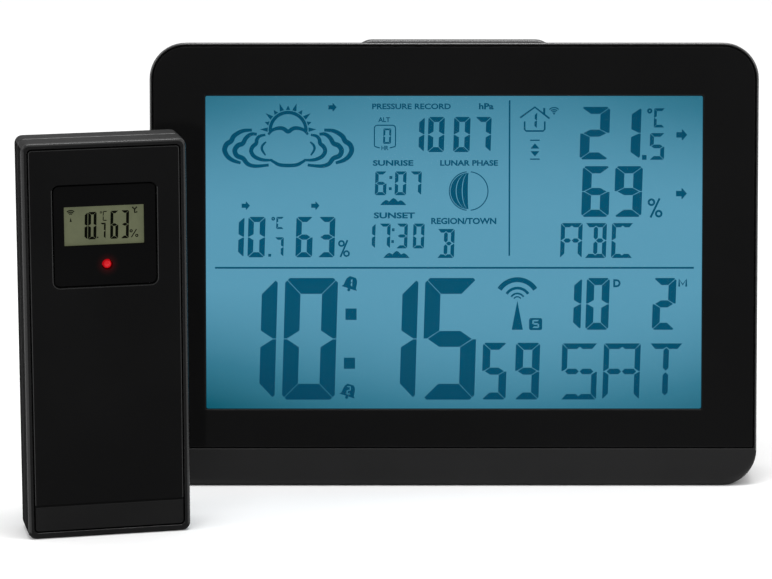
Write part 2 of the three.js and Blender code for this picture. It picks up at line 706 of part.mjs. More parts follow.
// The foot is flat on the table, so its group turns the case's lean back out.
function addFoot(station) {
  const hinge = new THREE.Group();
  hinge.position.set(0, FOOT.axisY, FOOT_AXIS_Z);
  hinge.rotation.x = TILT;
  addPart(hinge, 'stand_foot', standFoot(), satinBlack);
  station.add(hinge);
}

function buildSensor() {
  const sensor = new THREE.Group();
  sensor.position.set(SENSOR_PLACE.x, SENSOR_PLACE.y, 0);
  sensor.rotation.z = SENSOR_PLACE.turn;
  addPart(sensor, 'sensor_front_case', sensorFrontCase(), satinBlack);
  addPart(sensor, 'sensor_panel', sensorPanel(), satinBlack);
  addPart(sensor, 'sensor_window', sensorWindow(), glossBlack);
  addPart(sensor, 'sensor_display', block(-16.6, 16.6, 1.8, 3.8, 85.6, 105.1), greyDisplay);
  addPart(sensor, 'sensor_led', sensorLed(), redLens);
  addPart(sensor, 'sensor_board', block(-20, 20, 5.5, 7.1, 63.2, 113), circuitGreen);
  addPart(sensor, 'sensor_probe', block(-3, 3, 7.45, 10.5, 83, 89), whitePlastic);
  addPart(sensor, 'sensor_antenna', sensorAntenna(), copper);
  addPart(sensor, 'sensor_rear_case', sensorRearCase(), satinBlack);
  addPart(sensor, 'sensor_channel_switch', sensorChannelSwitch(), whitePlastic);
  addPart(sensor, 'sensor_send_button', sensorSendButton(), darkRubber);
  addSensorBatteries(sensor);
  return sensor;
}

function addSensorBatteries(sensor) {
  const middle = SENSOR_BAY.floor + 0.35 + CELL_RADIUS;
  const low = SENSOR_BAY.low + 2.4;
  const [left, right] = SENSOR_CELLS;
  addPart(sensor, 'sensor_battery_1', uprightCell(left, middle, low), cellWrap);
  addPart(sensor, 'sensor_battery_2', flippedCell(right, middle, low), cellWrap);
  const under = SENSOR_BAY.low + 0.35;
  const over = SENSOR_BAY.high - 1.15;
  addPart(sensor, 'sensor_contact_pair', contact(under, middle, [left, right], [0.9, 0.9]), nickel);
  addPart(sensor, 'sensor_contact_left', contact(over, middle, [left], [-0.8]), nickel);
  addPart(sensor, 'sensor_contact_right', contact(over, middle, [right], [-0.8]), nickel);
  const door = { ...SENSOR_DOOR, left: -SENSOR_DOOR.half, right: SENSOR_DOOR.half };
  addPart(sensor, 'sensor_battery_door', batteryDoor(door, SENSOR.depth, 1, 3), satinBlack);
}

const weatherStation = new THREE.Group();
weatherStation.name = 'weather_station';
weatherStation.add(buildStation());
weatherStation.add(buildSensor());

export default weatherStation;
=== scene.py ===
import json
import math

import bmesh
import bpy
from mathutils import Matrix, Vector


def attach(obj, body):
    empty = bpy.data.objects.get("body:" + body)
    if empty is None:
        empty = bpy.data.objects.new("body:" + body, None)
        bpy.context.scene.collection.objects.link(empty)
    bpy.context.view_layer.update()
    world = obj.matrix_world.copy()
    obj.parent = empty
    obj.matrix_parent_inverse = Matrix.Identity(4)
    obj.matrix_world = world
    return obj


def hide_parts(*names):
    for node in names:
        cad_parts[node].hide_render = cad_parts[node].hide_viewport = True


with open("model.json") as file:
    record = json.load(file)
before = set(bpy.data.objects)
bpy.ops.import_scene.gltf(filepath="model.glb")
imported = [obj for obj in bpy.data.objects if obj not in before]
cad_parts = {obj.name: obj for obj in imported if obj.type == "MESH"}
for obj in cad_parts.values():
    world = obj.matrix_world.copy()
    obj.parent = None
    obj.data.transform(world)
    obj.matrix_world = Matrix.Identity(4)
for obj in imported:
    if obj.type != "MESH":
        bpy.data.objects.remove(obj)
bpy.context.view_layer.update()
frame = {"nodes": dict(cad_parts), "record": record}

# Home weather station and its outdoor sensor. Pieces are drawn in millimetres in the same two
# local frames as the CAD: x to the right, y from the front face to the rear, z up the face.
# STATION, SENSOR and FOOT carry them into the row frame, in metres.

# ---------------------------------------------------------------- driving dimensions, mm

MM = 0.001
TILT = math.radians(8.6)
BASE_FRONT = 12.5
CASE_WIDTH, CASE_HEIGHT, CASE_DEPTH, CASE_CORNER = 190.0, 139.0, 28.0, 11.3
CASE_SPLIT = 8.0
RIM_FILLET = 0.68
CHIN_FILLET = 2.5
CHIN_TOP = 11.9
RECESS_DEPTH = 2.3
SEAT_BACK = 3.6
FASCIA_INSET = 1.2
WINDOW = (-77.6, 77.6, 24.4, 122.4)
OPENING = (-79.0, 79.0, 23.0, 124.0)
LCD = (-80.5, 80.5, 21.0, 125.0)
LCD_FRONT = 3.9
SCREWS = [(-84, 130), (84, 130), (-84, 12), (84, 12)]
KEYS = ["mode", "alarm", "history", "channel", "memory", "alert", "down", "up"]
KEY_PITCH, KEY_HEIGHT = 18.0, 117.0
DOOR = (-84.0, -44.0, 17.5, 76.0)
BAY = (-82.0, -46.0, 21.2, 72.8)
BAY_FLOOR = 15.0
FOOT_HALF, FOOT_LENGTH, FOOT_AXIS_Y = 30.0, 38.0, 25.5
FOOT_KNUCKLE = 2.4
FOOT_AXIS_Z = (FOOT_KNUCKLE + FOOT_AXIS_Y * math.sin(TILT)) / math.cos(TILT)
CELL_RADIUS, CELL_LENGTH = 5.25, 44.5

SENSOR_WIDTH, SENSOR_HEIGHT, SENSOR_DEPTH = 49.0, 120.0, 18.0
SENSOR_CORNER, SENSOR_SPLIT = 2.5, 8.0
SENSOR_PANEL = (-22.35, 22.35, 2.35, 117.85)
SENSOR_BAND = 10.0
SENSOR_WINDOW = (-15.5, 15.5, 76.4, 107.2)
SENSOR_LCD = (-12.0, 11.7, 88.8, 100.5)
SENSOR_LED = (0.6, 82.9)
SENSOR_DOOR = (-14.8, 14.8, 8.4, 75.6)
SENSOR_BAY = (-11.5, 11.5, 12.0, 61.2)
SENSOR_BAY_FLOOR = 4.9
SWITCH_BAY = (-11.5, 11.5, 63.0, 72.0)
SEND_KEY = (6.5, 67.5)

CORNER_STEPS = 12
FILLET_STEPS = 6
FULL_TURN = 2 * math.pi

STATION = (
    Matrix.Translation((0, -BASE_FRONT * MM, 0))
    @ Matrix.Rotation(-TILT, 4, "X")
    @ Matrix.Scale(MM, 4)
)
FOOT = STATION @ Matrix.Translation((0, FOOT_AXIS_Y, FOOT_AXIS_Z)) @ Matrix.Rotation(TILT, 4, "X")
SENSOR = (
    Matrix.Translation((-103.9 * MM, -66.7 * MM, 0))
    @ Matrix.Rotation(math.radians(12.5), 4, "Z")
    @ Matrix.Scale(MM, 4)
)


# ---------------------------------------------------------------- camera, floor and light

def add_camera():
    """A long lens, a little to the left and above, looking 12.6 degrees down."""
    lens = bpy.data.cameras.new("camera")
    lens.sensor_width = 36.0
    lens.lens = 172.85
    lens.clip_start, lens.clip_end = 0.05, 20.0
    camera = bpy.data.objects.new("camera", lens)
    camera.location = (-0.02127, -1.13484, 0.31428)
    camera.rotation_euler = (math.radians(90 - 12.604), 0, 0)
    bpy.context.scene.collection.objects.link(camera)
    bpy.context.scene.camera = camera


def add_floor():
    """A plain pale sheet, 12 m square, just under the feet."""
    sheet = bmesh.new()
    bmesh.ops.create_grid(sheet, x_segments=2, y_segments=2, size=6.0)
    floor = to_object("floor", sheet)
    floor.location.z = -0.00005
    floor.data.materials.append(floor_paint())


def add_light(name, place, target, size, watts):
    lamp = bpy.data.lights.new(name, "AREA")
    lamp.shape = "RECTANGLE"
    lamp.size, lamp.size_y = size
    lamp.energy = watts
    light = bpy.data.objects.new(name, lamp)
    light.location = place
    light.rotation_euler = (Vector(target) - Vector(place)).to_track_quat("-Z", "Y").to_euler()
    bpy.context.scene.collection.objects.link(light)


def set_world():
    """A soft studio: dim just above the table in front, brighter behind and overhead."""
    world = bpy.data.worlds.new("studio")
    bpy.context.scene.world = world
    world.use_nodes = True
    tree = world.node_tree
    direction = tree.nodes.new("ShaderNodeTexCoord").outputs["Generated"]
    axes = tree.nodes.new("ShaderNodeSeparateXYZ")
    tree.links.new(direction, axes.inputs[0])
    up = span(tree, axes.outputs["Z"], (0.15, 0.6), (0.0, 0.56))
    behind = span(tree, axes.outputs["Y"], (-0.6, 0.3), (0.0, 0.28))
    glow = calc(tree, "ADD", calc(tree, "ADD", up, behind), 0.34)
    backdrop = tree.nodes["Background"]
    backdrop.inputs["Color"].default_value = (1, 1, 1, 1)
    tree.links.new(glow, backdrop.inputs["Strength"])


def set_stage():
    bpy.context.scene.view_settings.view_transform = "Standard"
    add_camera()
    add_floor()
    set_world()
    add_light("overhead", (0.05, -0.2, 1.25), (-0.02, -0.02, 0.1), (0.8, 0.22), 7.0)
    add_light("left_strip", (-1.0, -0.5, 0.5), (0, 0, 0.07), (0.25, 0.8), 2.2)
    add_light("right_strip", (1.0, -0.5, 0.5), (0, 0, 0.07), (0.25, 0.8), 2.2)


# ---------------------------------------------------------------- node helpers

def shader(name):
    material = bpy.data.materials.new(name)
    material.use_nodes = True
    tree = material.node_tree
    return material, tree, tree.nodes["Principled BSDF"]


def feed(tree, value, socket):
    """Gives a socket a plain value or another node's output."""
    if isinstance(value, bpy.types.NodeSocket):
        tree.links.new(value, socket)
    else:
        socket.default_value = value


def put(surface, values):
    """Sets plain values on the shader's own sockets."""
    for socket, value in values.items():
        surface.inputs[socket].default_value = value


def calc(tree, operation, first, second=0.0):
    node = tree.nodes.new("ShaderNodeMath")
    node.operation = operation
    feed(tree, first, node.inputs[0])
    feed(tree, second, node.inputs[1])
    return node.outputs[0]


def span(tree, value, source, target):
    """Maps a value from one range to another, held at its ends."""
    node = tree.nodes.new("ShaderNodeMapRange")
    feed(tree, value, node.inputs["Value"])
    node.inputs["From Min"].default_value, node.inputs["From Max"].default_value = source
    node.inputs["To Min"].default_value, node.inputs["To Max"].default_value = target
    return node.outputs["Result"]


def ramp(tree, factor, stops):
    """A colour ramp: stops are (place, colour) pairs in order."""
    node = tree.nodes.new("ShaderNodeValToRGB")
    elements = node.color_ramp.elements
    while len(elements) < len(stops):
        elements.new(1.0)
    for element, (place, colour) in zip(elements, stops):
        element.position = place
        element.color = (*colour, 1.0)
    tree.links.new(factor, node.inputs["Fac"])
    return node.outputs["Color"]


def blend(tree, factor, dark, light, socket, low=0.3, high=0.7):
    """Drives a colour socket from one shade to another as the factor goes from low to high."""
    tree.links.new(ramp(tree, factor, [(low, dark), (high, light)]), socket)


def roughen(tree, factor, limits, surface):
    """Drives the roughness between two limits."""
    tree.links.new(span(tree, factor, (0.3, 0.7), limits), surface.inputs["Roughness"])


def coordinates(tree, stretch=(1.0, 1.0, 1.0)):
    """Object coordinates, in metres, so that a pattern stays on its piece in every pose."""
    source = tree.nodes.new("ShaderNodeTexCoord")
    mapping = tree.nodes.new("ShaderNodeMapping")
    mapping.inputs["Scale"].default_value = stretch
    tree.links.new(source.outputs["Object"], mapping.inputs["Vector"])
    return mapping.outputs["Vector"]


def noise(tree, scale, detail=2.0, stretch=(1.0, 1.0, 1.0)):
    node = tree.nodes.new("ShaderNodeTexNoise")
    tree.links.new(coordinates(tree, stretch), node.inputs["Vector"])
    node.inputs["Scale"].default_value = scale
    node.inputs["Detail"].default_value = detail
    return node.outputs["Fac"]


def relief(tree, surface, height, depth):
    """Bump of the given depth in metres."""
    bump = tree.nodes.new("ShaderNodeBump")
    bump.inputs["Distance"].default_value = depth
    tree.links.new(height, bump.inputs["Height"])
    tree.links.new(bump.outputs["Normal"], surface.inputs["Normal"])


def srgb(code):
    """A linear colour from a hexadecimal display colour."""
    parts = [int(code[i:i + 2], 16) / 255 for i in (0, 2, 4)]
    return tuple(p / 12.92 if p <= 0.04045 else ((p + 0.055) / 1.055) ** 2.4 for p in parts)


# ---------------------------------------------------------------- materials

def moulded(name, dark, light, roughness, gloss, grain=0.00035, depth=0.000006):
    """Moulded plastic or rubber: two close shades that drift, with a fine grain in its relief
    and its gloss. gloss is the specular level, and grain the size of the texture in metres."""
    material, tree, surface = shader(name)
    blend(tree, noise(tree, 28.0, 3.0), dark, light, surface.inputs["Base Color"], 0.35, 0.65)
    fine = noise(tree, 1 / grain, 2.0)
    roughen(tree, fine, roughness, surface)
    put(surface, {"Specular IOR Level": gloss})
    relief(tree, surface, fine, depth)
    return material


def brushed_metal(name, dark, light, roughness, stretch):
    material, tree, surface = shader(name)
    streaks = noise(tree, 900.0, 3.0, stretch)
    blend(tree, streaks, dark, light, surface.inputs["Base Color"])
    roughen(tree, streaks, roughness, surface)
    put(surface, {"Metallic": 1.0})
    relief(tree, surface, streaks, 0.000004)
    return material


def circuit_board(name):
    """Green lacquer over copper tracks, with small bright pads."""
    material, tree, surface = shader(name)
    tracks = tree.nodes.new("ShaderNodeTexBrick")
    tree.links.new(coordinates(tree), tracks.inputs["Vector"])
    put(tracks, {
        "Scale": 160.0,
        "Mortar Size": 0.035,
        "Color1": (0.008, 0.075, 0.022, 1),
        "Color2": (0.010, 0.090, 0.028, 1),
        "Mortar": (0.03, 0.17, 0.06, 1),
    })
    tree.links.new(tracks.outputs["Color"], surface.inputs["Base Color"])
    roughen(tree, noise(tree, 300.0), (0.22, 0.4), surface)
    relief(tree, surface, tracks.outputs["Fac"], 0.00002)
    return material


def clear_lens(name):
    material, tree, surface = shader(name)
    haze = noise(tree, 90.0)
    blend(tree, haze, (0.02, 0.03, 0.035), (0.03, 0.04, 0.045), surface.inputs["Base Color"])
    roughen(tree, haze, (0.03, 0.06), surface)
    put(surface, {"Specular IOR Level": 0.2, "Alpha": 0.03})
    return material


def display_shade(tree):
    """How dim the backlight is at a place: 0 in the middle, about 1 in the lower left corner."""
    def times(first, second):
        return calc(tree, "MULTIPLY", first, second)
    def power(value, exponent):
        return calc(tree, "POWER", value, exponent)
    def far_from(middle, reach):
        shifted = calc(tree, "DIVIDE", calc(tree, "SUBTRACT", axes.outputs["X"], middle), reach)
        return power(calc(tree, "ABSOLUTE", shifted), 2.0)
    axes = tree.nodes.new("ShaderNodeSeparateXYZ")
    tree.links.new(coordinates(tree, (1 / MM, 1 / MM, 1 / MM)), axes.inputs[0])
    top = power(span(tree, axes.outputs["Z"], (83.0, 120.5), (0.0, 1.0)), 1.6)
    top_share = calc(tree, "ADD", times(far_from(0.0, 77.0), 0.29), 0.35)
    low = span(tree, axes.outputs["Z"], (24.5, 61.0), (1.0, 0.0))
    low_side = times(times(far_from(15.0, 92.0), 0.55), low)
    low_middle = times(power(low, 2.2), 0.45)
    from_low = calc(tree, "ADD", low_side, low_middle)
    return calc(tree, "ADD", times(top, top_share), from_low)


def lit(name, stops, roughness=0.3):
    """A surface of the blue display, glowing with the backlight behind it."""
    material, tree, surface = shader(name)
    mottle = calc(tree, "MULTIPLY", calc(tree, "SUBTRACT", noise(tree, 220.0), 0.5), 0.03)
    colour = ramp(tree, calc(tree, "ADD", display_shade(tree), mottle), stops)
    tree.links.new(colour, surface.inputs["Emission Color"])
    put(surface, {
        "Base Color": (0.001, 0.001, 0.001, 1),
        "Specular IOR Level": 0.02,
        "Roughness": roughness,
        "Emission Strength": 1.02,
    })
    return material


def window_gloss_with_painted_led_glow(name, led):
    """The sensor's polished window, with a painted red glow round its lamp: emission on the window stands in
    for the LED's light falling on it.
    """
    material = moulded(name, (0.0012, 0.0012, 0.0013), (0.0017, 0.0017, 0.0018), (0.06, 0.1), 0.03)
    tree = material.node_tree
    surface = tree.nodes["Principled BSDF"]
    gap = tree.nodes.new("ShaderNodeVectorMath")
    gap.operation = "DISTANCE"
    tree.links.new(coordinates(tree), gap.inputs[0])
    gap.inputs[1].default_value = led
    near = span(tree, gap.outputs["Value"], (1.3 * MM, 4.2 * MM), (1.0, 0.0))
    # painted light: the window's own emission turns red near the LED, standing in for the lamp's light
    # spilling onto it
    painted_led_glow = calc(tree, "MULTIPLY", calc(tree, "POWER", near, 2.5), 0.03)
    put(surface, {"Emission Color": (1.0, 0.03, 0.05, 1)})
    tree.links.new(painted_led_glow, surface.inputs["Emission Strength"])
    return material


def glowing_led(name):
    material, tree, surface = shader(name)
    blend(tree, noise(tree, 400.0), (0.20, 0.004, 0.006), (0.26, 0.006, 0.008), surface.inputs["Base Color"])
    blend(tree, noise(tree, 300.0), srgb("d00d18"), srgb("dc101c"), surface.inputs["Emission Color"])
    put(surface, {"Emission Strength": 0.58, "Roughness": 0.25, "Specular IOR Level": 0.2})
    return material


def olive_lcd_with_painted_glow(name):
    """Olive-grey glass of the sensor's display, painted to glow: its emission stands in for the light it
    would reflect, though the display has no lamp behind it.
    """
    material, tree, surface = shader(name)
    haze = noise(tree, 160.0, 3.0)
    blend(tree, haze, (0.030, 0.033, 0.020), (0.036, 0.039, 0.024), surface.inputs["Base Color"])
    # painted light: an even olive glow by emission, which no lamp gives
    blend(tree, haze, srgb("5a5e48"), srgb("64684f"), surface.inputs["Emission Color"])
    put(surface, {"Emission Strength": 0.72, "Roughness": 0.35, "Specular IOR Level": 0.05})
    return material


def floor_paint():
    """Matt white paper, even enough to read as plain."""
    material, tree, surface = shader("floor_paper")
    blend(tree, noise(tree, 6.0), (0.90, 0.90, 0.90), (0.92, 0.92, 0.92), surface.inputs["Base Color"])
    put(surface, {"Roughness": 0.9, "Specular IOR Level": 0.1})
    return material


# Each moulded finish: dark and light shade, roughness limits, gloss, then grain and relief depth
# in metres where they differ from the usual.
MOULDED = {
    "satin_black": ((0.0074, 0.0074, 0.0075), (0.0094, 0.0094, 0.0096), (0.38, 0.48), 0.18),
    # coarse_black: a coarser grain, with a lighter shade that is painted light on the sensor's lower band
    "coarse_black": ((0.005, 0.005, 0.0051), (0.0066, 0.0066, 0.0067), (0.5, 0.6), 0.09, 0.0006, 1e-5),
    "polished_black": ((0.005, 0.005, 0.0052), (0.007, 0.007, 0.0072), (0.22, 0.3), 0.95, 0.003, 1e-6),
    "sensor_black": ((0.0034, 0.0034, 0.0035), (0.0044, 0.0044, 0.0045), (0.6, 0.7), 0.04),
    "sensor_case": ((0.0034, 0.0034, 0.0035), (0.0044, 0.0044, 0.0045), (0.52, 0.62), 0.11),
    "sensor_side": ((0.004, 0.004, 0.0041), (0.0052, 0.0052, 0.0053), (0.72, 0.82), 0.008, 0.0006, 1e-5),
    "sensor_edge": ((0.004, 0.004, 0.0041), (0.0052, 0.0052, 0.0053), (0.24, 0.32), 0.4, 0.003, 1e-6),
    "gloss_black": ((0.0042, 0.0042, 0.0043), (0.0048, 0.0048, 0.0049), (0.05, 0.08), 0.075, 0.004, 2e-6),
    "black_rubber": ((0.012, 0.012, 0.0125), (0.018, 0.018, 0.019), (0.6, 0.78), 0.25, 0.0005),
    "white_plastic": ((0.62, 0.62, 0.58), (0.68, 0.68, 0.64), (0.4, 0.55), 0.5),
    "white_diffuser": ((0.74, 0.78, 0.80), (0.80, 0.84, 0.86), (0.3, 0.45), 0.5, 0.0008),
    "epoxy_black": ((0.010, 0.010, 0.010), (0.015, 0.015, 0.015), (0.35, 0.5), 0.4),
    "ferrite": ((0.025, 0.025, 0.027), (0.045, 0.045, 0.047), (0.55, 0.8), 0.4, 0.00035, 2e-5),
    "blue_plastic": ((0.03, 0.16, 0.38), (0.04, 0.20, 0.45), (0.35, 0.5), 0.5),
    "cell_wrap": ((0.014, 0.015, 0.018), (0.022, 0.023, 0.027), (0.2, 0.3), 0.5),
    "cell_band": ((0.42, 0.20, 0.045), (0.50, 0.25, 0.06), (0.25, 0.35), 0.5),
    "marking_grey": ((0.34, 0.34, 0.34), (0.40, 0.40, 0.40), (0.5, 0.6), 0.3),
    "sensor_ink": ((0.001, 0.0015, 0.0005), (0.002, 0.003, 0.001), (0.5, 0.6), 0.02),
}


def make_materials():
    finishes = {name: moulded(name, *settings) for name, settings in MOULDED.items()}
    finishes["nickel_steel"] = brushed_metal(
        "nickel_steel", (0.48, 0.48, 0.47), (0.66, 0.66, 0.64), (0.22, 0.38), (1.0, 1.0, 0.08))
    finishes["copper_wire"] = brushed_metal(
        "copper_wire", (0.50, 0.20, 0.08), (0.72, 0.33, 0.15), (0.25, 0.4), (2.2, 0.1, 0.1))
    glass = [(0.0, srgb("5a9bb6")), (0.5, srgb("367a92")), (1.0, srgb("105b6e"))]
    finishes["blue_display"] = lit("blue_display", glass)
    finishes["segment_ink"] = lit("segment_ink", [(0.0, srgb("00516e")), (1.0, srgb("003a54"))])
    finishes["circuit_board"] = circuit_board("circuit_board")
    finishes["clear_plastic"] = clear_lens("clear_plastic")
    # the sensor's display glows by painted emission, though it has no backlight
    finishes["grey_display"] = olive_lcd_with_painted_glow("grey_display")
    finishes["red_lens"] = glowing_led("red_lens")
    lamp = SENSOR @ Vector((SENSOR_LED[0], 0.5, SENSOR_LED[1]))
    # the window's finish carries a painted red glow round the LED
    finishes["sensor_window"] = window_gloss_with_painted_led_glow("sensor_window_gloss", lamp)
    return finishes


# ---------------------------------------------------------------- mesh helpers

def to_object(name, mesh):
    """Turns a bmesh into a linked object with outward faces."""
    bmesh.ops.recalc_face_normals(mesh, faces=mesh.faces)
    data = bpy.data.meshes.new(name)
    mesh.to_mesh(data)
    mesh.free()
    piece = bpy.data.objects.new(name, data)
    bpy.context.scene.collection.objects.link(piece)
    return piece


def outline(left, right, low, high, radius=0.05, low_radius=None, steps=CORNER_STEPS):
    """A rounded rectangle as (x, z) points, anticlockwise from the lower right corner."""
    lower = radius if low_radius is None else low_radius
    points = []
    for corner, r in enumerate((lower, radius, radius, lower)):
        middle_x = right - r if corner < 2 else left + r
        middle_z = low + r if corner in (0, 3) else high - r
        for step in range(steps + 1):
            angle = (corner - 1 + step / steps) * FULL_TURN / 4
            points.append((middle_x + r * math.cos(angle), middle_z + r * math.sin(angle)))
    return points


def grown(box, grow, radius, **options):
    """The outline of a box (left, right, low, high), grown all round."""
    left, right, low, high = box
    return outline(left - grow, right + grow, low - grow, high + grow, radius, **options)


def disc(x, z, radius, steps=32):
    turns = [FULL_TURN * step / steps for step in range(steps)]
    return [(x + radius * math.cos(turn), z + radius * math.sin(turn)) for turn in turns]


def at(y, points):
    """A flat outline set at a depth."""
    return [(x, y, z) for x, z in points]


def skin(name, rings, closed=False):
    """A closed body through rings of equal count, capped at its ends or joined end to end."""
    mesh = bmesh.new()
    rows = [[mesh.verts.new(point) for point in ring] for ring in rings]
    pairs = list(zip(rows, rows[1:]))
    if closed:
        pairs.append((rows[-1], rows[0]))
    count = len(rings[0])
    for near, far in pairs:
        for i in range(count):
            j = (i + 1) % count
            mesh.faces.new((near[i], near[j], far[j], far[i]))
    if not closed:
        mesh.faces.new(rows[0])
        mesh.faces.new(rows[-1])
    return to_object(name, mesh)


def slab(box, front, back, radius=0.05, edge=0.0, steps=4):
    """A plate of the x-z plane with an optional small chamfer round both faces."""
    def ring(y, inset):
        return at(y, grown(box, -inset, max(radius - inset, 0.02), steps=steps))
    if edge == 0:
        return skin("slab", [ring(front, 0), ring(back, 0)])
    rings = [ring(front, edge), ring(front + 0.3 * edge, 0.3 * edge), ring(front + edge, 0)]
    rings += [ring(back - edge, 0), ring(back - 0.3 * edge, 0.3 * edge), ring(back, edge)]
    return skin("slab", rings)


def well(shape, front, mouth, flare=0.3):
    """A cutter from the rear: straight inside, and opening out where it meets the surface."""
    return skin("well", [
        at(front, shape(0)), at(mouth - flare, shape(0)), at(mouth + 1.0, shape(flare + 1.0)),
    ])


def box_shape(left, right, low, high, radius=0.3):
    def shape(margin):
        return grown((left, right, low, high), margin, radius + margin, steps=5)
    return shape


def disc_shape(x, z, radius):
    def shape(margin):
        return disc(x, z, radius + margin)
    return shape


def slots(left, right, low, tall, pitch, count, front, mouth, flare=0.2):
    """Cutters for a row of round-ended slots, one above the other."""
    tools = []
    for number in range(count):
        base = low + pitch * number
        tools.append(well(box_shape(left, right, base, base + tall, tall / 2 - 0.01), front, mouth, flare))
    return tools


def turned(profile, centre, axis="Y", steps=32):
    """A turned body: profile is (distance along the axis, radius), centre the other two places."""
    rings = []
    for along, radius in profile:
        flat = disc(centre[0], centre[1], radius, steps)
        if axis == "X":
            rings.append([(along, a, b) for a, b in flat])
        elif axis == "Y":
            rings.append([(a, along, b) for a, b in flat])
        else:
            rings.append([(a, b, along) for a, b in flat])
    return skin("turned", rings)


def settle(piece):
    """Applies a piece's modifiers to its mesh."""
    graph = bpy.context.evaluated_depsgraph_get()
    data = bpy.data.meshes.new_from_object(piece.evaluated_get(graph))
    data.materials.clear()
    data.polygons.foreach_set("material_index", [0] * len(data.polygons))
    piece.modifiers.clear()
    piece.data = data


def combine(base, operation, tools):
    """Joins the tools to the base (UNION) or cuts them from it (DIFFERENCE)."""
    for tool in tools:
        step = base.modifiers.new("step", "BOOLEAN")
        step.operation = operation
        step.solver = "MANIFOLD"
        step.object = tool
    settle(base)
    for tool in tools:
        bpy.data.objects.remove(tool)
    return base


def add_to(base, *others):
    """Puts the others' meshes into the base's, as separate shells."""
    mesh = bmesh.new()
    for piece in (base, *others):
        mesh.from_mesh(piece.data)
    mesh.to_mesh(base.data)
    mesh.free()
    for piece in others:
        bpy.data.objects.remove(piece)
    return base


def polish_edges(piece, lowest, finish):
    """The rounded edges that look up or sideways are smoother than the textured faces."""
    polished = len(piece.data.materials)
    piece.data.materials.append(FINISH[finish])
    for face in piece.data.polygons:
        rounded = 0.25 < abs(face.normal.y) < 0.985 and face.normal.z > -0.1
        if rounded and face.center.z > lowest:
            face.material_index = polished


def matt_sides(piece):
    """The flat sides of the sensor carry a coarser, duller texture than its faces."""
    for finish in ("sensor_case", "sensor_side"):
        piece.data.materials.append(FINISH[finish])
    for face in piece.data.polygons:
        face.material_index = 1 if abs(face.normal.x) > 0.9 else 0
    return piece


def install(piece, name, place, finish, body, *nodes,
            slot=None, sharp=38, polish_from=None, polish="polished_black"):
    """Puts a finished piece in the row frame, dresses it, ties it to its body, and hides the CAD nodes it
    stands in for.
    slot, the record's name for its material where that isn't the finish's own name, is not used.
    polish_from is the height above which its rounded edges take the finish named by polish."""
    piece.name = name
    piece.data.name = name
    if not piece.data.materials:
        piece.data.materials.append(FINISH[finish])
    if polish_from is not None:
        polish_edges(piece, polish_from, polish)
    piece.data.transform(place)
    piece.data.polygons.foreach_set("use_smooth", [True] * len(piece.data.polygons))
    piece.data.set_sharp_from_angle(angle=math.radians(sharp))
    normals = piece.modifiers.new("normals", "WEIGHTED_NORMAL")
    normals.keep_sharp = True
    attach(piece, body)
    if nodes:
        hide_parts(*nodes)
    return piece


# ---------------------------------------------------------------- station: shells

def above_table(ring, lift=0.0):
    """Keeps a ring of the leaning case above the table plane."""
    return [(x, y, max(z, y * math.tan(TILT) + lift)) for x, y, z in ring]


def case_ring(y, inset, lift=0.0):
    face = (-CASE_WIDTH / 2, CASE_WIDTH / 2, 0, CASE_HEIGHT)
    return above_table(at(y, grown(face, -inset, CASE_CORNER - inset)), lift)


def case_fillet(turn):
    """A ring of the front edge's rounding, which is fuller along the bottom than elsewhere."""
    def rounded(radius):
        return case_ring(radius * (1 - math.sin(turn)), radius * (1 - math.cos(turn)))
    ring = []
    for side, foot, edge in zip(rounded(RIM_FILLET), rounded(CHIN_FILLET), case_ring(0, 0)):
        share = max(0.0, 1 - edge[2] / CASE_CORNER)
        share = share * share * (3 - 2 * share)
        ring.append(tuple(a + (b - a) * share for a, b in zip(side, foot)))
    return above_table(ring)


def recess_ring(y, inset, low):
    half = CASE_WIDTH / 2 - inset
    return at(y, outline(-half, half, low, CASE_HEIGHT - inset, CASE_CORNER - inset, 0.6))


def front_shell():
    rings = [case_ring(CASE_SPLIT - 0.3, 0.2), case_ring(CASE_SPLIT - 0.5, 0)]
    rings += [case_fillet(FULL_TURN / 4 * step / FILLET_STEPS) for step in range(FILLET_STEPS + 1)]
    rings += [recess_ring(0.02, 0.66, CHIN_TOP - 0.45), recess_ring(0.08, 0.72, CHIN_TOP - 0.15)]
    rings += [recess_ring(0.25, 0.78, CHIN_TOP), recess_ring(RECESS_DEPTH, 0.78, CHIN_TOP)]
    rings += [at(y, outline(*OPENING, 0.5)) for y in (RECESS_DEPTH, SEAT_BACK)]
    rings += [case_ring(SEAT_BACK, 2.2, 2.2), case_ring(CASE_SPLIT - 0.3, 2.2, 2.2)]
    shell = skin("front", rings, closed=True)
    bosses = [turned([(3.0, 3.0), (13.4, 3.0), (13.7, 2.7)], place) for place in SCREWS]
    pilots = [turned([(5.0, 1.5), (14.5, 1.5)], place, steps=16) for place in SCREWS]
    combine(shell, "UNION", bosses)
    return combine(shell, "DIFFERENCE", pilots)


def front_fascia():
    def outer(y, shrink):
        inset = FASCIA_INSET + shrink
        half = CASE_WIDTH / 2 - inset
        low = CHIN_TOP + 0.4 + shrink
        return at(y, outline(-half, half, low, CASE_HEIGHT - inset, CASE_CORNER - inset, 0.5))
    def inner(y, grow):
        return at(y, grown(WINDOW, grow, 0.5))
    rings = [outer(2.0, 0.1), outer(1.9, 0), outer(0.4, 0), outer(0.25, 0.04), outer(0.14, 0.15)]
    rings += [outer(0.1, 0.3), inner(0.1, 0.55), inner(0.22, 0.28), inner(0.45, 0.08)]
    rings += [inner(0.75, 0), inner(2.0, 0)]
    return skin("fascia", rings, closed=True)


REAR_FILLET = 3.0


def rear_inset(y):
    """The rear shell narrows a little towards the back, and ends in a round edge."""
    taper = 0.0055 * (y - CASE_SPLIT) ** 2
    into = max(0.0, y - (CASE_DEPTH - REAR_FILLET))
    return taper + REAR_FILLET - math.sqrt(REAR_FILLET ** 2 - into ** 2)


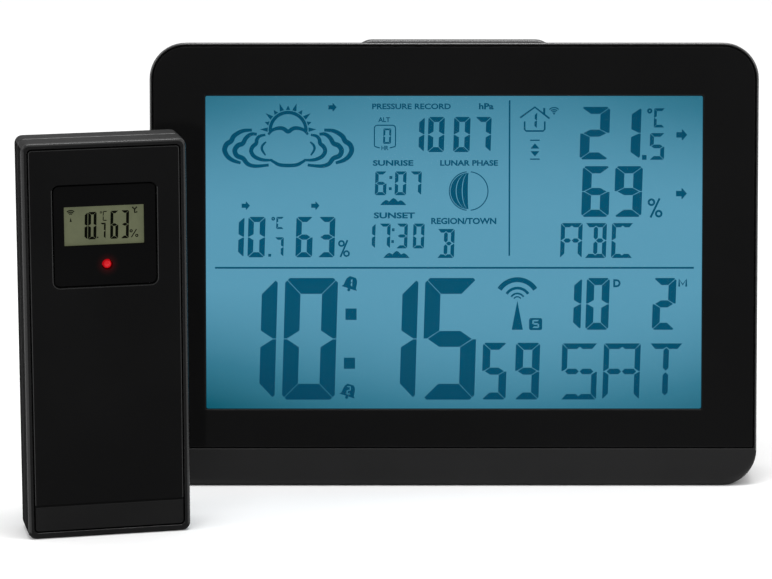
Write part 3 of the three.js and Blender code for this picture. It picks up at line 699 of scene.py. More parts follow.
def rear_body():
    """The rear shell as a cup with the lip that enters the front shell."""
    inner = [(26.0, 5.6), (24.0, 4.3), (20.0, 3.3), (14.0, 2.6), (10.6, 2.6), (9.4, 4.05), (6.2, 4.05)]
    rings = [case_ring(y, inset, 3.5) for y, inset in inner]
    rings += [case_ring(6.2, 2.55, 2.9), case_ring(CASE_SPLIT, 2.55, 2.9)]
    rings += [case_ring(CASE_SPLIT, 0.2), case_ring(CASE_SPLIT + 0.2, 0)]
    depths = [10, 12, 14, 16, 18, 20, 22, 24, 25, 25.6, 26.2, 26.8, 27.25, 27.6, 27.85, 27.97]
    rings += [case_ring(y, rear_inset(y)) for y in depths]
    rings.append(case_ring(CASE_DEPTH, rear_inset(CASE_DEPTH - 0.001)))
    return skin("rear", rings)


def key_place(number):
    return (number - (len(KEYS) - 1) / 2) * KEY_PITCH


def key_shape(x, margin):
    return grown((x - 5.5, x + 5.5, KEY_HEIGHT - 2.5, KEY_HEIGHT + 2.5), margin, 2.4 + margin, steps=8)


def hanger_wells(x, z, radius, slot, slot_top, front, mouth):
    """The keyhole for a wall screw: a round hole under a narrower slot."""
    return [
        well(disc_shape(x, z, radius), front, mouth, 0.35),
        well(box_shape(x - slot, x + slot, z, slot_top, 1.5), front, mouth, 0.35),
    ]


def rear_wells():
    back = CASE_DEPTH
    inside = 25.0
    tools = [
        slab(BAY, BAY_FLOOR, back + 1, 0.8),
        well(box_shape(*DOOR, 1.4), back - 1.6, back, 0.25),
        well(disc_shape(72, 34, 4.2), inside, back, 0.4),
        slab((-29.7, 29.7, 133.0, 141.0), 9.1, 20.9, 0.3),
        *hanger_wells(0, 84, 4.5, 2, 93, inside, back),
        well(box_shape(-9, 9, 40, 51, 3.0), 24.5, back, 0.5),
    ]
    for number in range(len(KEYS)):
        x = key_place(number)
        tools.append(well(lambda margin, x=x: key_shape(x, 0.4 + margin), inside, back, 0.25))
    for x, z in SCREWS:
        tools.append(well(disc_shape(x, z, 2.8), 18.0, back, 0.3))
        tools.append(turned([(12.0, 1.5), (19.0, 1.5)], (x, z), steps=16))
    tools += slots(61, 75, 78, 1.6, 3.4, 5, inside, back)
    for hole in range(7):
        reach = 0 if hole == 0 else 4
        angle = hole * FULL_TURN / 6
        centre = (52 + reach * math.cos(angle), 62 + reach * math.sin(angle))
        tools.append(well(disc_shape(*centre, 0.8), inside, back, 0.2))
    return tools


def foot_wells():
    """The foot's bed, the groove for its knuckle, and the blind holes for its pins."""
    half = FOOT_HALF + 0.6
    bed = slab((-half, half, -5, FOOT_AXIS_Z + FOOT_LENGTH + 1.5), 24.5, 30, 3.0)
    groove = slab((-half, half, -5, FOOT_AXIS_Z + 2.9), 22.7, 30, 0.1)
    holes = turned([(-half - 2.6, 1.6), (half + 2.6, 1.6)], (FOOT_AXIS_Y, FOOT_AXIS_Z), "X", 20)
    return [bed, groove, holes]


def rear_shell():
    half = FOOT_HALF + 0.6
    blocks = [
        slab((DOOR[0] - 1, DOOR[1] + 1, 16.5, 77.0), BAY_FLOOR - 1.3, 26.5),
        slab((-half - 2, half + 2, 6.0, 48.5), 22.5, 26.5),
        slab((-half - 2, half + 2, 5.0, 13.0), 20.0, 24.0),
        slab((-half - 4, -half, 5.0, 13.0), 20.0, 26.5),
        slab((half, half + 4, 5.0, 13.0), 20.0, 26.5),
    ]
    blocks += [turned([(14.0, 4.0), (26.5, 4.0)], place) for place in SCREWS]
    shell = combine(rear_body(), "UNION", blocks)
    return combine(shell, "DIFFERENCE", rear_wells() + foot_wells())


def case_screw(x, z):
    """A countersunk-looking pan head with a cross recess, and a threaded shank."""
    head = turned([(18.3, 2.3), (18.5, 2.4), (19.5, 2.4), (20.0, 2.1), (20.3, 1.3)], (x, z))
    shank = [(6.0, 0.5), (7.0, 0.9)]
    for turn in range(11):
        start = 7.0 + turn
        shank += [(start + 0.25, 1.15), (start + 0.75, 0.9)]
    shank.append((18.6, 1.1))
    cross = [
        slab((x - 1.6, x + 1.6, z - 0.35, z + 0.35), 19.4, 21, 0.2),
        slab((x - 0.35, x + 0.35, z - 1.6, z + 1.6), 19.4, 21, 0.2),
    ]
    combine(head, "UNION", [turned(shank, (x, z), steps=20)])
    return combine(head, "DIFFERENCE", cross)


# ---------------------------------------------------------------- station: moving parts

def snooze_bar():
    """The long bar in the top edge: rounded along its length, with ramps at its ends."""
    half, front, back, top, base, edge = 29.3, 9.5, 20.5, 140.0, 133.6, 1.1
    def section(x):
        into = min(1.0, (half - abs(x)) / 3.2)
        height = top - 1.2 * (1 - into) ** 1.7
        return [(x, y, z) for y, z in outline(front, back, base, height, edge, 0.1, steps=6)]
    places = [half, half - 0.2, half - 0.6, half - 1.2, half - 1.9, half - 2.6, half - 3.4]
    xs = [-x for x in places] + [0.0] + places[::-1]
    bar = skin("bar", [section(x) for x in xs])
    flange = slab((-half - 2, half + 2, 133.0, 134.4), front - 0.4, back + 0.5, 0.3, 0.15)
    stem = turned([(132.3, 1.5), (132.5, 1.8), (135.0, 1.8)], (0, 13.8), "Z")
    return combine(bar, "UNION", [flange, stem])


def rear_key(number):
    """A moulded rubber key with rounded edges and a shallow dish."""
    x = key_place(number)
    profile = [(22.0, 0.0), (28.2, 0.0), (28.5, -0.05), (28.74, -0.16), (28.9, -0.32), (28.98, -0.55)]
    profile += [(28.96, -0.8), (28.86, -1.1), (28.76, -1.5), (28.7, -2.0)]
    cap = skin("key", [at(y, key_shape(x, margin)) for y, margin in profile])
    flange = slab((x - 6.8, x + 6.8, KEY_HEIGHT - 3.8, KEY_HEIGHT + 3.8), 24.4, 25.6, 1.0)
    stem = turned([(17.9, 1.8), (23.0, 2.2)], (x, KEY_HEIGHT), steps=20)
    return combine(cap, "UNION", [flange, stem])


def lying(ring_points, z):
    """An outline laid in the foot's own x-y plane."""
    return [(x, y, z) for x, y in ring_points]


def recess(box, corner, depths):
    """A cutter in the foot's plane: depths are (height, growth) pairs."""
    return skin("recess", [lying(grown(box, grow, corner + grow, steps=4), z) for z, grow in depths])


def foot_plate():
    """The fold-out foot: a plate with a rounded tip, a knuckle, pins and shallow weight pockets."""
    half, knuckle, top = FOOT_HALF, FOOT_KNUCKLE, 0.6
    levels = [(-knuckle, 0.3), (-knuckle + 0.1, 0.1), (-knuckle + 0.3, 0), (top - 0.3, 0),
              (top - 0.1, 0.1), (top, 0.3)]
    plate = skin("foot", [
        lying(outline(-half + i, half - i, 0.2, FOOT_LENGTH - i, 5 - i, 0.3, steps=8), z)
        for z, i in levels
    ])
    pin, end = 1.2, half + 2.2
    barrel = turned([(-end, pin - 0.2), (-end + 0.2, pin), (-half, pin), (-half + 0.01, knuckle - 0.3),
                     (-half + 0.3, knuckle), (half - 0.3, knuckle), (half - 0.01, knuckle - 0.3),
                     (half, pin), (end - 0.2, pin), (end, pin - 0.2)], (0, 0), "X", 28)
    pockets = [
        recess((left, left + 15, 8, 27), 1.5, ((-0.1, -0.3), (top + 0.1, 0))) for left in (-24, -7.5, 9)
    ]
    pockets += [
        recess((middle - 6, middle + 6, FOOT_LENGTH - 9, FOOT_LENGTH - 4), 1.5,
               ((-knuckle - 1, 0), (-knuckle + 0.5, 0)))
        for middle in (-20, 20)
    ]
    combine(plate, "UNION", [barrel])
    return combine(plate, "DIFFERENCE", pockets)


def foot_pad(side):
    """A rubber pad let into the underside of the foot, with a rounded face."""
    middle = 20 * side
    def ring(z, i):
        plan = (middle - 5.8, middle + 5.8, FOOT_LENGTH - 8.8, FOOT_LENGTH - 4.2)
        return lying(grown(plan, -i, 1.4 - i, steps=5), z)
    base = -FOOT_KNUCKLE
    return skin("pad", [ring(base + 0.45, 0), ring(base + 0.2, 0), ring(base + 0.06, 0.12), ring(base, 0.4)])


def battery_cover(door, depth, thickness, corner, grooves):
    """A clip-on cover with finger grooves and an arrow pressed into it."""
    left, right, low, high = door
    gap = 0.35
    box = (left + gap, right - gap, low + gap, high - gap)
    plate = slab(box, depth - thickness + 0.1, depth - 0.05, corner, 0.22, steps=6)
    middle = (left + right) / 2
    tools = slots(middle - 6, middle + 6, high - 6, 0.8, -2, grooves, depth - 0.6, depth - 0.05, 0.25)
    tip = high - 9 - 2 * grooves
    def arrow(margin):
        return [(middle - 2 - margin, tip - margin * 0.5), (middle + 2 + margin, tip - margin * 0.5),
                (middle, tip + 2.6 + margin)]
    tools.append(well(arrow, depth - 0.35, depth - 0.05, 0.1))
    return combine(plate, "DIFFERENCE", tools)


# ---------------------------------------------------------------- batteries and contacts

def cell(x, y, low, upside_down):
    """An AAA cell: steel ends, a dark wrap and a plain copper-coloured band by the cap."""
    length = CELL_LENGTH
    profile = [(0, 2.6), (0.12, 3.6), (0.3, 4.3), (0.45, 4.9), (0.7, 5.1), (0.95, CELL_RADIUS)]
    profile += [(1.0, CELL_RADIUS), (33.0, CELL_RADIUS), (42.4, CELL_RADIUS), (42.8, 5.1), (43.1, 4.7)]
    profile += [(43.4, 4.3), (43.6, 3.4), (43.62, 2.0), (44.2, 1.9), (44.42, 1.75), (length, 1.4)]
    if upside_down:
        profile = [(length - along, radius) for along, radius in reversed(profile)]
    piece = turned([(low + along, radius) for along, radius in profile], (x, y), "Z", 40)
    for finish in ("nickel_steel", "cell_wrap", "cell_band"):
        piece.data.materials.append(FINISH[finish])
    for face in piece.data.polygons:
        height = face.center.z - low
        if upside_down:
            height = length - height
        if 0.97 < height < 43:
            face.material_index = 1 if height < 33 else 2
    return piece


def spring(x, y, start, end, wide, narrow, turns=4.0, wire=0.28):
    """A conical coil spring along z, from its wide end to its narrow one."""
    sides, count = 8, int(turns * 20)
    rings = []
    for step in range(count + 1):
        share = step / count
        angle = FULL_TURN * turns * share
        radius = wide + (narrow - wide) * share
        out = Vector((math.cos(angle), math.sin(angle), 0))
        middle = Vector((x, y, start + (end - start) * share)) + out * radius
        rings.append([
            tuple(middle + (out * math.cos(t) + Vector((0, 0, 1)) * math.sin(t)) * wire)
            for t in (FULL_TURN * side / sides for side in range(sides))
        ])
    return skin("spring", rings)


def contact(plate, y, cells, lifts):
    """A sprung plate across one or two cells. A lift over 1.5 carries a spring, else a dimple."""
    plan = (min(cells) - 4.6, max(cells) + 4.6, y - 4.6, y + 4.6)
    sheet = skin("sheet", [
        lying(grown(plan, -inset, 1.0, steps=4), plate + lift)
        for lift, inset in ((0.2, 0.1), (0.3, 0), (0.6, 0), (0.7, 0.1))
    ])
    extras = []
    for x, lift in zip(cells, lifts):
        face = plate + 0.7 if lift > 0 else plate + 0.2
        way = 1 if lift > 0 else -1
        if abs(lift) > 1.5:
            extras.append(spring(x, y, face + way * 0.2, face + way * (abs(lift) - 0.25), 3.3, 2.2, 2.5))
        else:
            dome = [(face - way * 0.1, 2.2), (face + way * 0.5 * abs(lift), 1.8), (face + lift, 0.8)]
            extras.append(turned(dome, (x, y), "Z", 24))
    return add_to(sheet, *extras)


# ---------------------------------------------------------------- display artwork

SLANT = math.tan(math.radians(1.7))
SEVEN = {
    "0": "abcdef", "1": "bc", "2": "abged", "3": "abgcd", "4": "fgbc", "5": "afgcd",
    "6": "afgedc", "7": "abc", "8": "abcdefg", "9": "abcdfg",
}
LETTERS = {"A": "efabcgh", "B": "adilbch", "C": "afed", "S": "afghcd", "T": "ail"}


def flat(art, points):
    """Adds one flat shape to the artwork."""
    art.faces.new([art.verts.new((x, 0, z)) for x, z in points])


def thick(name, art, front, depth=0.05):
    """Turns flat artwork into thin solids whose faces look forward at the given depth."""
    made = bmesh.ops.extrude_face_region(art, geom=art.faces[:], use_keep_orig=True)
    moved = [item for item in made["geom"] if isinstance(item, bmesh.types.BMVert)]
    bmesh.ops.translate(art, verts=moved, vec=(0, depth, 0))
    bmesh.ops.translate(art, verts=art.verts[:], vec=(0, front, 0))
    return to_object(name, art)


def leaning(points, low):
    return [(x + (z - low) * SLANT, z) for x, z in points]


def mirrored(points, middle):
    return [(2 * middle - x, z) for x, z in points]


def flipped(points, middle):
    return [(x, 2 * middle - z) for x, z in points]


def bars(l, r, b, t, s, h, k, c):
    """The seven bars of a digit, upright. s and h are the upright and level strokes, k half the
    gap between two bars, and c the cut at the outer corners."""
    m, n = (b + t) / 2, (l + r) / 2
    near, far = (c + k) / 2, (c - k) / 2
    e, f = 0.22 * s, 0.5 * h
    top = [(l + c, t), (r - c, t), (r - near, t - far), (r - s - k, t - h), (l + s + k, t - h),
           (l + near, t - far)]
    side = [(l, t - c), (l + far, t - near), (l + s, t - h - k), (l + s, m + f + k), (l + e, m + k),
            (l, m + k)]
    middle = [(l + e + 2 * k, m), (l + s + k, m + f), (r - s - k, m + f), (r - e - 2 * k, m),
              (r - s - k, m - f), (l + s + k, m - f)]
    return {
        "a": top, "d": flipped(top, m), "f": side, "e": flipped(side, m), "g": middle,
        "b": mirrored(side, n), "c": mirrored(flipped(side, m), n),
    }


def digits(art, text, lefts, width, low, high, stroke, level=None):
    """A row of slanted seven-bar digits. lefts are the left edges of their cells."""
    level = level or 0.92 * stroke
    gap = min(0.13, 0.1 * stroke)
    cut = 0.3 * stroke
    lean = (high - low) * SLANT
    for mark, left in zip(text, lefts):
        shapes = bars(left, left + width - lean, low, high, stroke, level, gap, cut)
        for bar in SEVEN[mark]:
            flat(art, leaning(shapes[bar], low))


def letter_bars(l, r, b, t, s):
    """The bars of a letter: the outer ones, a middle bar in two halves, and a centre upright."""
    m, c = (b + t) / 2, (l + r) / 2
    k, h = 0.13, 0.5 * s
    shapes = bars(l, r, b, t, s, s, k, 0.25 * s)
    top = [(l + 2 * k, t), (r - 2 * k, t), (r - s, t - s), (c + h, t - s), (c, t - 0.6 * s),
           (c - h, t - s), (l + s, t - s)]
    start, end = l + h + 2 * k, c - k
    level = [(start, m), (start + h, m + h), (end - h, m + h), (end, m), (end - h, m - h),
             (start + h, m - h)]
    high, low = t - 0.6 * s - 2 * k, m + 2 * k
    upright = [(c, high), (c + h, high - h), (c + h, low + h), (c, low), (c - h, low + h),
               (c - h, high - h)]
    shapes.update({
        "a": top, "d": flipped(top, m), "g": level, "h": [(x + c - l - h - k, z) for x, z in level],
        "i": upright, "l": flipped(upright, m),
    })
    return shapes


def letters(art, text, lefts, width, low, high, stroke):
    lean = (high - low) * SLANT
    for mark, left in zip(text, lefts):
        shapes = letter_bars(left, left + width - lean, low, high, stroke)
        for bar in LETTERS[mark]:
            flat(art, leaning(shapes[bar], low))


def box(art, left, right, low, high):
    flat(art, [(left, low), (right, low), (right, high), (left, high)])


def band(art, points, widths, closed=False):
    """A stroke along a line. widths is one width, or one for each point."""
    count = len(points)
    widths = [widths] * count if isinstance(widths, (int, float)) else widths
    edges = []
    for i, (x, z) in enumerate(points):
        before = points[i - 1] if i > 0 or closed else points[i]
        after = points[(i + 1) % count] if i < count - 1 or closed else points[i]
        along = Vector((after[0] - before[0], after[1] - before[1])).normalized()
        half = widths[i] / 2
        edges.append((art.verts.new((x - along.y * half, 0, z + along.x * half)),
                      art.verts.new((x + along.y * half, 0, z - along.x * half))))
    for i in range(count if closed else count - 1):
        near, far = edges[i], edges[(i + 1) % count]
        art.faces.new((near[0], near[1], far[1], far[0]))


def arc(x, z, radius, start, end, steps=16):
    """Points of an arc, with angles in degrees."""
    turns = [math.radians(start + (end - start) * step / steps) for step in range(steps + 1)]
    return [(x + radius * math.cos(turn), z + radius * math.sin(turn)) for turn in turns]


def hoop(art, x, z, radius, width, steps=28):
    """A thin circle, given by the middle of its stroke."""
    band(art, arc(x, z, radius, 0, 360, steps)[:-1], width, closed=True)


def smooth(points, cuts=4):
    """A Catmull-Rom curve through the points."""
    last = len(points) - 1
    result = []
    for i in range(last):
        four = [points[min(max(i + j, 0), last)] for j in (-1, 0, 1, 2)]
        for cut in range(cuts):
            t = cut / cuts
            result.append(tuple(
                0.5 * (2 * p1 + (p2 - p0) * t + (2 * p0 - 5 * p1 + 4 * p2 - p3) * t ** 2
                       + (3 * p1 - p0 - 3 * p2 + p3) * t ** 3)
                for p0, p1, p2, p3 in zip(*four)
            ))
    result.append(points[-1])
    return result


def caption(art, words, left, right, low, high, weight):
    """Plain capitals, fitted to a box."""
    curve = bpy.data.curves.new("words", "FONT")
    curve.body = words
    curve.offset = weight
    curve.resolution_u = 3
    text = bpy.data.objects.new("words", curve)
    bpy.context.scene.collection.objects.link(text)
    graph = bpy.context.evaluated_depsgraph_get()
    data = bpy.data.meshes.new_from_object(text.evaluated_get(graph))
    xs = [v.co.x for v in data.vertices]
    ys = [v.co.y for v in data.vertices]
    wide, tall = (right - left) / (max(xs) - min(xs)), (high - low) / (max(ys) - min(ys))
    verts = [
        art.verts.new((left + (v.co.x - min(xs)) * wide, 0, low + (v.co.y - min(ys)) * tall))
        for v in data.vertices
    ]
    for face in data.polygons:
        art.faces.new([verts[i] for i in face.vertices])
    bpy.data.objects.remove(text)


def arrow(art, x, z, size=2.6):
    """A small solid arrow that points right."""
    h = size / 2
    flat(art, [(x - h, z - 0.5 * h), (x, z - 0.5 * h), (x, z - 0.98 * h), (x + 0.15 * h, z - 0.98 * h),
               (x + h, z), (x + 0.15 * h, z + 0.98 * h), (x, z + 0.98 * h), (x, z + 0.5 * h),
               (x - h, z + 0.5 * h)])


def percent(art, left, right, low, high, stroke):
    """A percent sign with two rings."""
    radius = 0.2 * (high - low)
    hoop(art, left + radius, high - radius, radius - stroke / 2, stroke, 16)
    hoop(art, right - radius, low + radius, radius - stroke / 2, stroke, 16)
    middle, half = (left + right) / 2, 0.3 * (right - left)
    band(art, [(middle - half, low), (middle + half, high)], stroke)


def celsius(art, left, right, low, high, stroke):
    """A degree ring and a C made of bars."""
    ring = 0.3 * (right - left)
    hoop(art, left + ring / 2, high - ring / 2, ring / 2 - stroke / 3, stroke * 0.7, 14)
    shapes = bars(right - 0.62 * (right - left), right - 0.05, low, high, stroke, stroke, 0.07, 0.2 * stroke)
    for bar in "afed":
        flat(art, leaning(shapes[bar], low))


def draw_sun(art, x, z, radius):
    band(art, arc(x, z, radius, -3, 183, 30), 1.05)
    for ray in range(-5, 6):
        turn = math.radians(90 + 17.6 * ray)
        reach = 2.5 if ray % 2 else 1.4
        out = Vector((math.cos(turn), math.sin(turn)))
        side = Vector((-out.y, out.x)) * 0.7
        foot = Vector((x, z)) + out * (radius + 0.78)
        flat(art, [tuple(foot - side), tuple(foot + out * reach), tuple(foot + side)])


def brush(art, points, width):
    """A smooth stroke that swells from thin ends to its full width."""
    path = smooth(points)
    last = len(path) - 1
    widths = [width * (0.25 + 0.75 * math.sin(math.pi * min(0.96, max(0.04, i / last))) ** 0.4)
              for i in range(last + 1)]
    band(art, path, widths)


def draw_clouds(art, middle):
    """A cloud in front, with two more that show on either side of it."""
    crown = [(6.2, 110.3), (4.9, 111.7), (2.9, 112.3), (1.4, 112.1), (0, 111.2)]
    flank = [(7.1, 110.2), (8.9, 109.8), (9.8, 108.7), (10.0, 107.5), (11.1, 106.5), (11.6, 105.1),
             (10.8, 103.6), (9.2, 102.7), (7.4, 102.3), (4.9, 102.3)]
    base = [(5.6, 102.4), (4.3, 101.6), (2.65, 100.8), (0, 100.6)]
    second = [(9.8, 110.4), (11.6, 110.4), (13.2, 109.2), (14.2, 107.5), (15.7, 106.9), (16.7, 105.4),
              (16.1, 103.7), (14.1, 102.8), (12.7, 101.1), (10.2, 100.4), (6.1, 100.75)]
    third = [(11.3, 111.7), (14.3, 111.4), (16.9, 109.9), (17.8, 108.3), (19.3, 107.2), (19.9, 105.4),
             (19.0, 103.5), (17.3, 102.2), (14.9, 101.4)]
    inner = [(6.9, 108.0), (8.0, 106.9), (8.2, 105.6), (7.1, 103.8)]
    for line, width in ((crown, 1.3), (base, 1.15)):
        left = [(middle - x, z) for x, z in line]
        right = [(middle + x, z) for x, z in line]
        brush(art, left + right[-2::-1], width)
    for side in (-1, 1):
        for line, width in ((flank, 1.3), (second, 1.55), (third, 1.6), (inner, 0.8)):
            brush(art, [(middle + side * x, z) for x, z in line], width)


def draw_moon(art, x, z, radius):
    """A ring whose left half is filled with three crescents."""
    for start, end in ((-84, 84), (96, 264)):
        band(art, arc(x, z, radius, start, end, 24), 0.32)
    inner = radius - 0.35
    for number in range(3):
        far, near = 1 - number / 3, 1 - (number + 0.86) / 3
        outside = [(x - far * (x - a), b) for a, b in arc(x, z, inner, 96, 264, 20)]
        inside = [(x - near * (x - a), b) for a, b in arc(x, z, inner, 96, 264, 20)]
        for i in range(20):
            flat(art, [outside[i], outside[i + 1], inside[i + 1], inside[i]])


def draw_house(art, x, low):
    """A small house with a number in it, and its chimney and radio waves."""
    band(art, [(x - 4.6, low + 4.25), (x, low + 7.55), (x + 4.6, low + 4.0)], 0.55)
    band(art, [(x - 3.2, low + 3.1), (x - 3.2, low + 0.6), (x - 2.7, low + 0.1), (x + 2.6, low + 0.1),
               (x + 3.1, low + 0.6), (x + 3.1, low + 3.1)], 0.52)
    box(art, x + 2.6, x + 3.25, low + 5.4, low + 7.3)
    digits(art, "1", [x - 2.3], 3.05, low + 0.95, low + 5.9, 0.75)
    draw_waves(art, x + 6.0, low + 5.5, (0.75, 1.3, 1.95), 0.36, 48)
    flat(art, disc(x + 6.0, low + 5.55, 0.32, 10))


def draw_waves(art, x, z, radii, width, half_angle):
    for radius in radii:
        band(art, arc(x, z, radius, 90 - half_angle, 90 + half_angle, 12), width)


def draw_tower(art, x, low):
    """The radio time signal: a mast, four waves and a small lettered box."""
    flat(art, [(x - 1.75, low - 0.1), (x + 1.75, low - 0.1), (x, low + 9.1)])
    for reach, width in ((1.5, 0.4), (2.6, 0.55), (4.45, 0.85), (7.45, 1.55)):
        band(art, arc(x, low + 9.0, reach - width / 2, 33, 147, 16), width)
    flat(art, outline(x + 3.7, x + 7.8, low - 0.2, low + 3.6, 0.6, steps=3))


def draw_hills(art, left, low):
    """Dark hills under the sun's times."""
    shares = (1, 0.6, 0.25, 0, -0.25, -0.6, -1)
    for x, half, tall in ((left + 1.9, 1.9, 1.6), (left + 4.2, 2.1, 2.2), (left + 6.4, 1.8, 1.5)):
        flat(art, [(x + share * half, low + tall * (1 - abs(share) ** 1.6)) for share in shares])


def draw_bell(art, x, z):
    """An alarm bell, leaning a little, with its clapper."""
    turn = Matrix.Rotation(math.radians(-18), 2)
    def lean(points):
        return [tuple(Vector((x, z)) + turn @ Vector(point)) for point in points]
    half = [(2.55, -1.7), (2.0, -1.0), (1.9, 0.3), (1.65, 1.3), (1.0, 2.1)]
    flat(art, lean(half + [(-a, b) for a, b in reversed(half)]))
    flat(art, lean(disc(0, -2.1, 0.5, 10)))


def draw_cutouts(art):
    """The light marks that stand inside dark signs."""
    digits(art, "1", (-33.4,), 1.6, 62.5, 65.1, 0.45)
    digits(art, "2", (-33.7,), 1.4, 28.6, 31.2, 0.35)
    digits(art, "5", (24.65,), 2.2, 49.6, 52.1, 0.48)


def draw_range(art, x, high, low):
    """The sign for highest and lowest values."""
    for z in (high, low):
        band(art, [(x - 1.5, z), (x + 1.5, z)], 0.4)
    middle = (high + low) / 2
    flat(art, [(x - 1.4, middle + 0.35), (x + 1.4, middle + 0.35), (x, middle + 2.0)])
    flat(art, [(x - 1.4, middle - 0.45), (x, middle - 2.1), (x + 1.4, middle - 0.45)])


# The numbers on the blue display: digits, left edge of each, width, bottom, top, upright stroke,
# then level stroke where it differs.
NUMBERS = (
    ("10", (-72.9, -54.0), 17.7, 26.95, 65.3, 4.9, 5.0),
    ("15", (-28.7, -10.05), 17.65, 26.95, 65.3, 4.9, 5.0),
    ("59", (8.7, 19.05), 8.15, 27.0, 44.9, 2.4),
    ("10", (32.6, 41.3), 7.7, 49.0, 65.3, 2.4),
    ("2", (62.2,), 7.7, 49.0, 65.3, 2.4),
    ("21", (39.3, 49.1), 9.6, 102.5, 118.95, 3.0, 2.2),
    ("5", (61.15,), 4.85, 102.4, 110.75, 1.25),
    ("69", (39.9, 50.1), 9.1, 84.5, 100.4, 2.9, 2.25),
    ("10", (-71.35, -64.75), 5.75, 71.8, 84.5, 1.75),
    ("7", (-56.3,), 3.0, 72.0, 78.1, 0.85),
    ("63", (-49.7, -42.7), 5.6, 71.8, 84.5, 1.75),
    ("1007", (-14.55, -8.3, -0.25, 6.35), 5.45, 104.8, 115.8, 1.7),
    ("607", (-24.8, -18.6, -13.85), 3.8, 91.3, 98.75, 1.05),
    ("1730", (-28.25, -23.55, -18.15, -12.9), 3.75, 74.6, 82.4, 1.05),
    ("0", (-22.2,), 2.6, 107.4, 112.2, 0.62),
)
WORDS = (
    ("S", (33.6,), 11.7, 27.0, 44.7, 1.75),
    ("A", (46.7,), 12.1, 27.0, 44.7, 1.75),
    ("T", (61.1,), 11.0, 27.0, 44.7, 1.75),
    ("ABC", (33.3, 40.9, 49.3), 7.1, 71.6, 82.55, 1.3),
    ("B", (-5.4,), 5.7, 71.6, 80.7, 1.15),
)
# The captions: words, left, right, bottom, top and weight.
THIN, BOLD, HEAVY = 0.025, 0.034, 0.045
CAPTIONS = (
    ("PRESSURE RECORD", -25.6, -1.0, 118.2, 120.0, THIN),
    ("hPa", 7.8, 12.4, 118.15, 120.1, BOLD),
    ("ALT", -23.7, -20.0, 114.2, 115.7, THIN),
    ("HR", -22.7, -20.5, 105.4, 106.8, THIN),
    ("SUNRISE", -25.4, -12.7, 100.5, 102.3, BOLD),
    ("LUNAR PHASE", -4.3, 13.8, 100.5, 102.3, BOLD),
    ("SUNSET", -25.1, -12.2, 84.0, 85.9, BOLD),
    ("REGION/TOWN", -7.1, 13.3, 82.2, 84.2, BOLD),
    ("D", 50.05, 52.35, 62.4, 64.9, HEAVY),
)
# Square points of the display, as left, right, bottom and top: colons, then decimal points.
POINTS = (
    (-34.0, -30.5, 52.1, 55.7), (-34.5, -31.0, 36.7, 40.2), (-20.2, -19.3, 96.4, 97.3),
    (-20.4, -19.5, 92.9, 93.8), (-19.4, -18.6, 80.0, 80.9), (-19.6, -18.8, 76.3, 77.2),
    (-58.2, -57.3, 72.0, 72.9), (58.9, 60.3, 102.4, 103.9),
)


def draw_numbers(art):
    for number in NUMBERS:
        digits(art, *number)
    for word in WORDS:
        letters(art, *word)


def draw_signs(art):
    for point in POINTS:
        box(art, *point)
    celsius(art, -57.2, -53.3, 80.7, 84.5, 0.6)
    celsius(art, 60.4, 65.9, 112.5, 118.5, 0.85)
    percent(art, -36.3, -32.6, 71.9, 77.2, 0.55)
    percent(art, 60.7, 65.4, 84.3, 90.3, 0.65)
    for x, z in ((-38.0, 118.8), (-65.2, 88.0), (-43.4, 88.0)):
        arrow(art, x, z)
    for z in (110.2, 91.8):
        arrow(art, 71.3, z, 3.4)
    band(art, [(17.4, 72.3), (17.4, 121.0)], 0.5)
    band(art, [(-74.9, 68.5), (75.3, 68.5)], 0.58)
    band(art, [(70.75, 62.6), (70.75, 64.8), (71.85, 63.2), (72.95, 64.8), (72.95, 62.6)], 0.62)
    draw_sun(art, -51.9, 111.6, 5.6)
    draw_clouds(art, -51.9)
    draw_moon(art, 4.63, 92.6, 6.05)
    draw_house(art, 25.3, 111.3)
    draw_range(art, 25.35, 108.5, 102.6)
    draw_tower(art, 19.97, 49.1)
    draw_hills(art, -23.1, 88.2)
    draw_hills(art, -22.1, 71.6)
    draw_bell(art, -32.3, 63.6)
    draw_bell(art, -33.0, 29.7)
    frame_line = outline(-24.9, -18.3, 106.1, 113.2, 0.9, steps=3)
    open_box = [(-20.1, 106.1), *frame_line[2:-2], (-23.2, 106.1)]
    band(art, open_box, 0.35)


def draw_captions(art):
    for words in CAPTIONS:
        caption(art, *words)


def draw_sensor_face(art):
    digits(art, "10", (-7.55, -4.9), 2.7, 90.4, 98.6, 0.84)
    digits(art, "63", (1.7, 4.85), 2.6, 90.3, 98.7, 0.84)
    digits(art, "7", (-1.3,), 1.75, 90.5, 95.2, 0.5)
    box(art, -2.2, -1.8, 90.7, 91.1)
    celsius(art, -1.25, 0.95, 95.8, 98.7, 0.25)
    percent(art, 7.5, 10.1, 90.5, 92.9, 0.28)
    draw_waves(art, -9.9, 97.7, (0.6, 1.1, 1.6), 0.3, 42)
    flat(art, [(-10.2, 95.9), (-9.6, 95.9), (-9.9, 97.2)])
    band(art, [(8.4, 99.6), (9.1, 98.9), (9.8, 99.6)], 0.4)
    band(art, [(9.1, 98.9), (9.1, 97.9), (9.9, 98.1)], 0.4)


